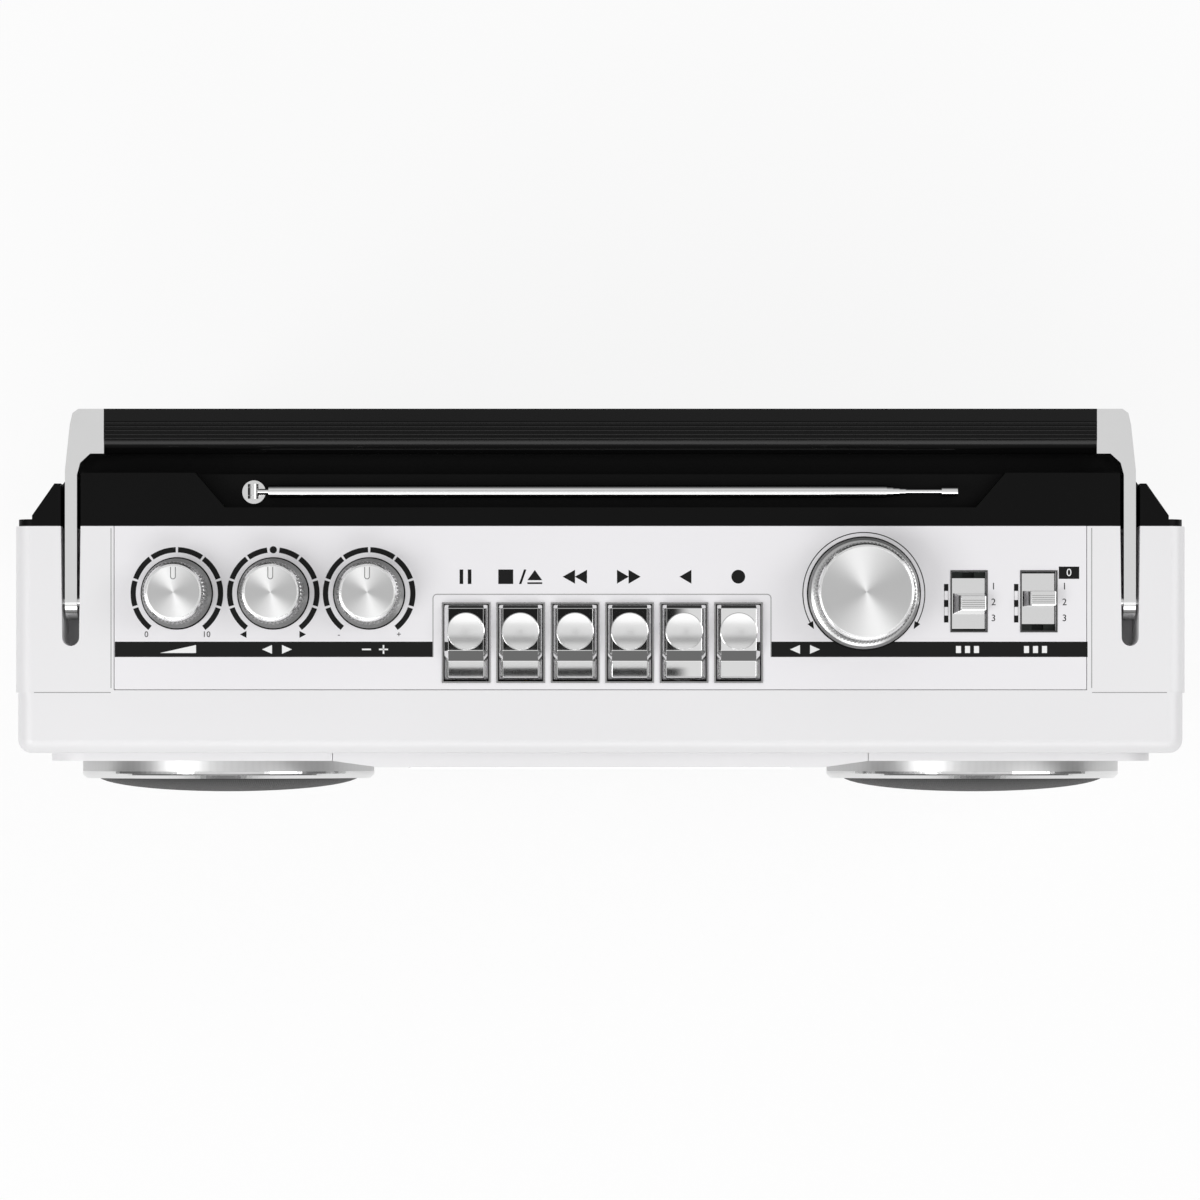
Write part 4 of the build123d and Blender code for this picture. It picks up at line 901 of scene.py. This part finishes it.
BAND_LOW, BAND_HIGH, BAND_ROW = INK_HIGH - 0.01 * MM, INK_HIGH + 0.03 * MM, 649.4
wedge = [polygon((160, 653), (196, 653), (196, 645))]
pairs = [arrow(tip, back, BAND_ROW, 645, 653.8) for tip, back in ((262, 272), (292, 282), (790, 800), (820, 810))]
minus_plus = [by_pixel(362, 371, 648.6, 650.2), by_pixel(379, 388, 648.6, 650.2), by_pixel(382.7, 384.3, 645, 653.8)]
squares = [by_pixel(left, left + 5, 646, 653) for left in (956, 965, 974, 1024, 1033, 1042)]
signs = wedge + pairs + minus_plus + squares
printed("band_signs", signs, white_ink, BAND_LOW, BAND_HIGH)
print("numbers and signs printed")

# %% [markdown]
# ## The tuning dial
#
# Behind the clear window lies a dark scale with three rows of plain numbers and a ruler of fine marks. The
# red pointer runs in front of it. The scale's marks are upright slabs on the scale's face, so the same
# plate helper is used, with its outline drawn in X and Z and turned to face the front.

# %% Scale marks and numbers
SCALE_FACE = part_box("dial_scale")[0][1]
cream = moulded("cream_ink", (0.78, 0.74, 0.62), 0.5, 2.0, 0.004)


def upright_parts(outline, front, back):
    """A slab whose outline is drawn in X and Z: the flat slab is turned to face the front."""
    points, faces = plate_parts(outline, 0.0, 1.0)
    turned = np.column_stack([points[:, 0], back + (front - back) * points[:, 2], points[:, 1]])
    return turned, faces


def upright_piece(name, outlines, front, back, body, finish, bevel=None):
    """One upright piece from many outlines in X and Z."""
    parts = [upright_parts(outline, front, back) for outline in outlines]
    return finish_piece(tidy_mesh(merged(name, parts), bevel), body, finish)


# A row of numbers: its height, and whether a ruler runs below it. The numbers stand 20 mm apart.
SCALE_ROWS = ((224.5, True, ("88", "92", "96", "100", "104", "108")),
              (213.5, True, ("53", "60", "75", "95", "120", "160")),
              (202.8, False, ("3", "5", "8", "11", "14", "18")))
SCALE_START, NUMBER_PITCH, MARK_PITCH = -50, 20, 2
RULER_DROP, RULER_REACH = 4.2, 55 * MM
marks, entries = [], []
for height, ruled, labels in SCALE_ROWS:
    for index, label in enumerate(labels):
        x = (SCALE_START + NUMBER_PITCH * index) * MM
        entries.append((label, (x, SCALE_FACE - 0.03 * MM, height * MM)))
    if not ruled:
        continue
    line = (height - RULER_DROP) * MM
    marks.append(rectangle(-RULER_REACH, RULER_REACH, line - 0.12 * MM, line + 0.12 * MM))
    for index in range(51):
        x = (SCALE_START + MARK_PITCH * index) * MM
        tall = 1.9 if index % 10 == 0 else 1.3 if index % 5 == 0 else 0.8
        marks.append(rectangle(x - 0.1 * MM, x + 0.1 * MM, line, line + tall * MM))
upright_piece("scale_marks", marks, SCALE_FACE - 0.06 * MM, SCALE_FACE + 0.1 * MM, "cabinet", cream)
numbers("scale_numbers", entries, 4.2 * MM, cream, upright=True)
print("scale marks:", len(marks))

# %% [markdown]
# ## Front trim
#
# The dial opening and the cassette window each have a bright plated edge, a thin frame of four bars that
# stands a little proud. The small slot below them has a dark one. A small bevel gives each bar a highlight
# along its edge.

# %% Plated frames on the front
FASCIA_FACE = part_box("centre_fascia")[0][1]


# A frame: half width, lower and upper edge of its opening, width of its bars, how far it stands proud and
# reaches in, and its bevel, all in millimetres
BRIGHT_FRAME = (1.6, 0.5, 0.3, 0.2)


def trim(name, opening, bar, body, finish):
    """A frame of four bars round an opening in the front."""
    half, low, high = (edge * MM for edge in opening)
    width, proud, inside, bevel = (size * MM for size in bar)
    upright_piece(name, frame_outlines(-half, half, low, high, width), FASCIA_FACE - proud, FASCIA_FACE + inside,
                  body, finish, bevel)


trim("dial_trim", (71, 198, 232), BRIGHT_FRAME, "cabinet", finishes["chrome"])
trim("cassette_window_trim", (44, 123, 165), BRIGHT_FRAME, "tape_door", finishes["chrome"])
trim("memory_slot_trim", (7.2, 56.3, 63.7), (0.9, 0.25, 0.2, 0.1), "cabinet", slot_dark)
print("front trim done")

# %% [markdown]
# ## Speaker rings
#
# Each ring is brushed metal with a narrow polished line at its outer edge. The cloth inside it needs no piece
# of its own: its weave is so fine that it lives in the material.

# %% Polished line on the speaker rings
# The band's section: millimetres out from the ring's rim, and behind its foremost point
RING_SECTION = ((-1.5, 0.2), (-1.5, -0.15), (-0.2, 1.1), (0.12, 1.7), (0.12, 2.6), (-0.4, 2.6))
RING_STEPS = 160


def ring_line(name, node):
    """A closed band: point (r, y) of the section goes to (x + r cos a, y, z + r sin a) for equal steps of a."""
    low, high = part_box(node)
    centre_x, _, centre_z = middle_of(node)
    radius, front = (high[0] - low[0]) / 2, low[1]
    section = np.array([(radius, front)]) + np.array(RING_SECTION) * MM
    count, around = len(section), RING_STEPS
    angle = np.arange(around) * 2 * math.pi / around
    reach, depth = section[:, 0][:, None], section[:, 1][:, None]
    points = np.stack([centre_x + reach * np.cos(angle), np.broadcast_to(depth, (count, around)),
                       centre_z + reach * np.sin(angle)], axis=-1).reshape(-1, 3)
    row, column = np.meshgrid(np.arange(count), np.arange(around), indexing="ij")
    after, below = (column + 1) % around, (row + 1) % count
    quads = np.stack([row * around + column, below * around + column, below * around + after,
                      row * around + after], axis=-1).reshape(-1, 4)
    return tidy_mesh(mesh_from(name, points, quads))


for side in ("left", "right"):
    finish_piece(ring_line(f"{side}_ring_line", f"speaker_ring_{side}"), "cabinet", finishes["chrome"])
print("ring lines done")
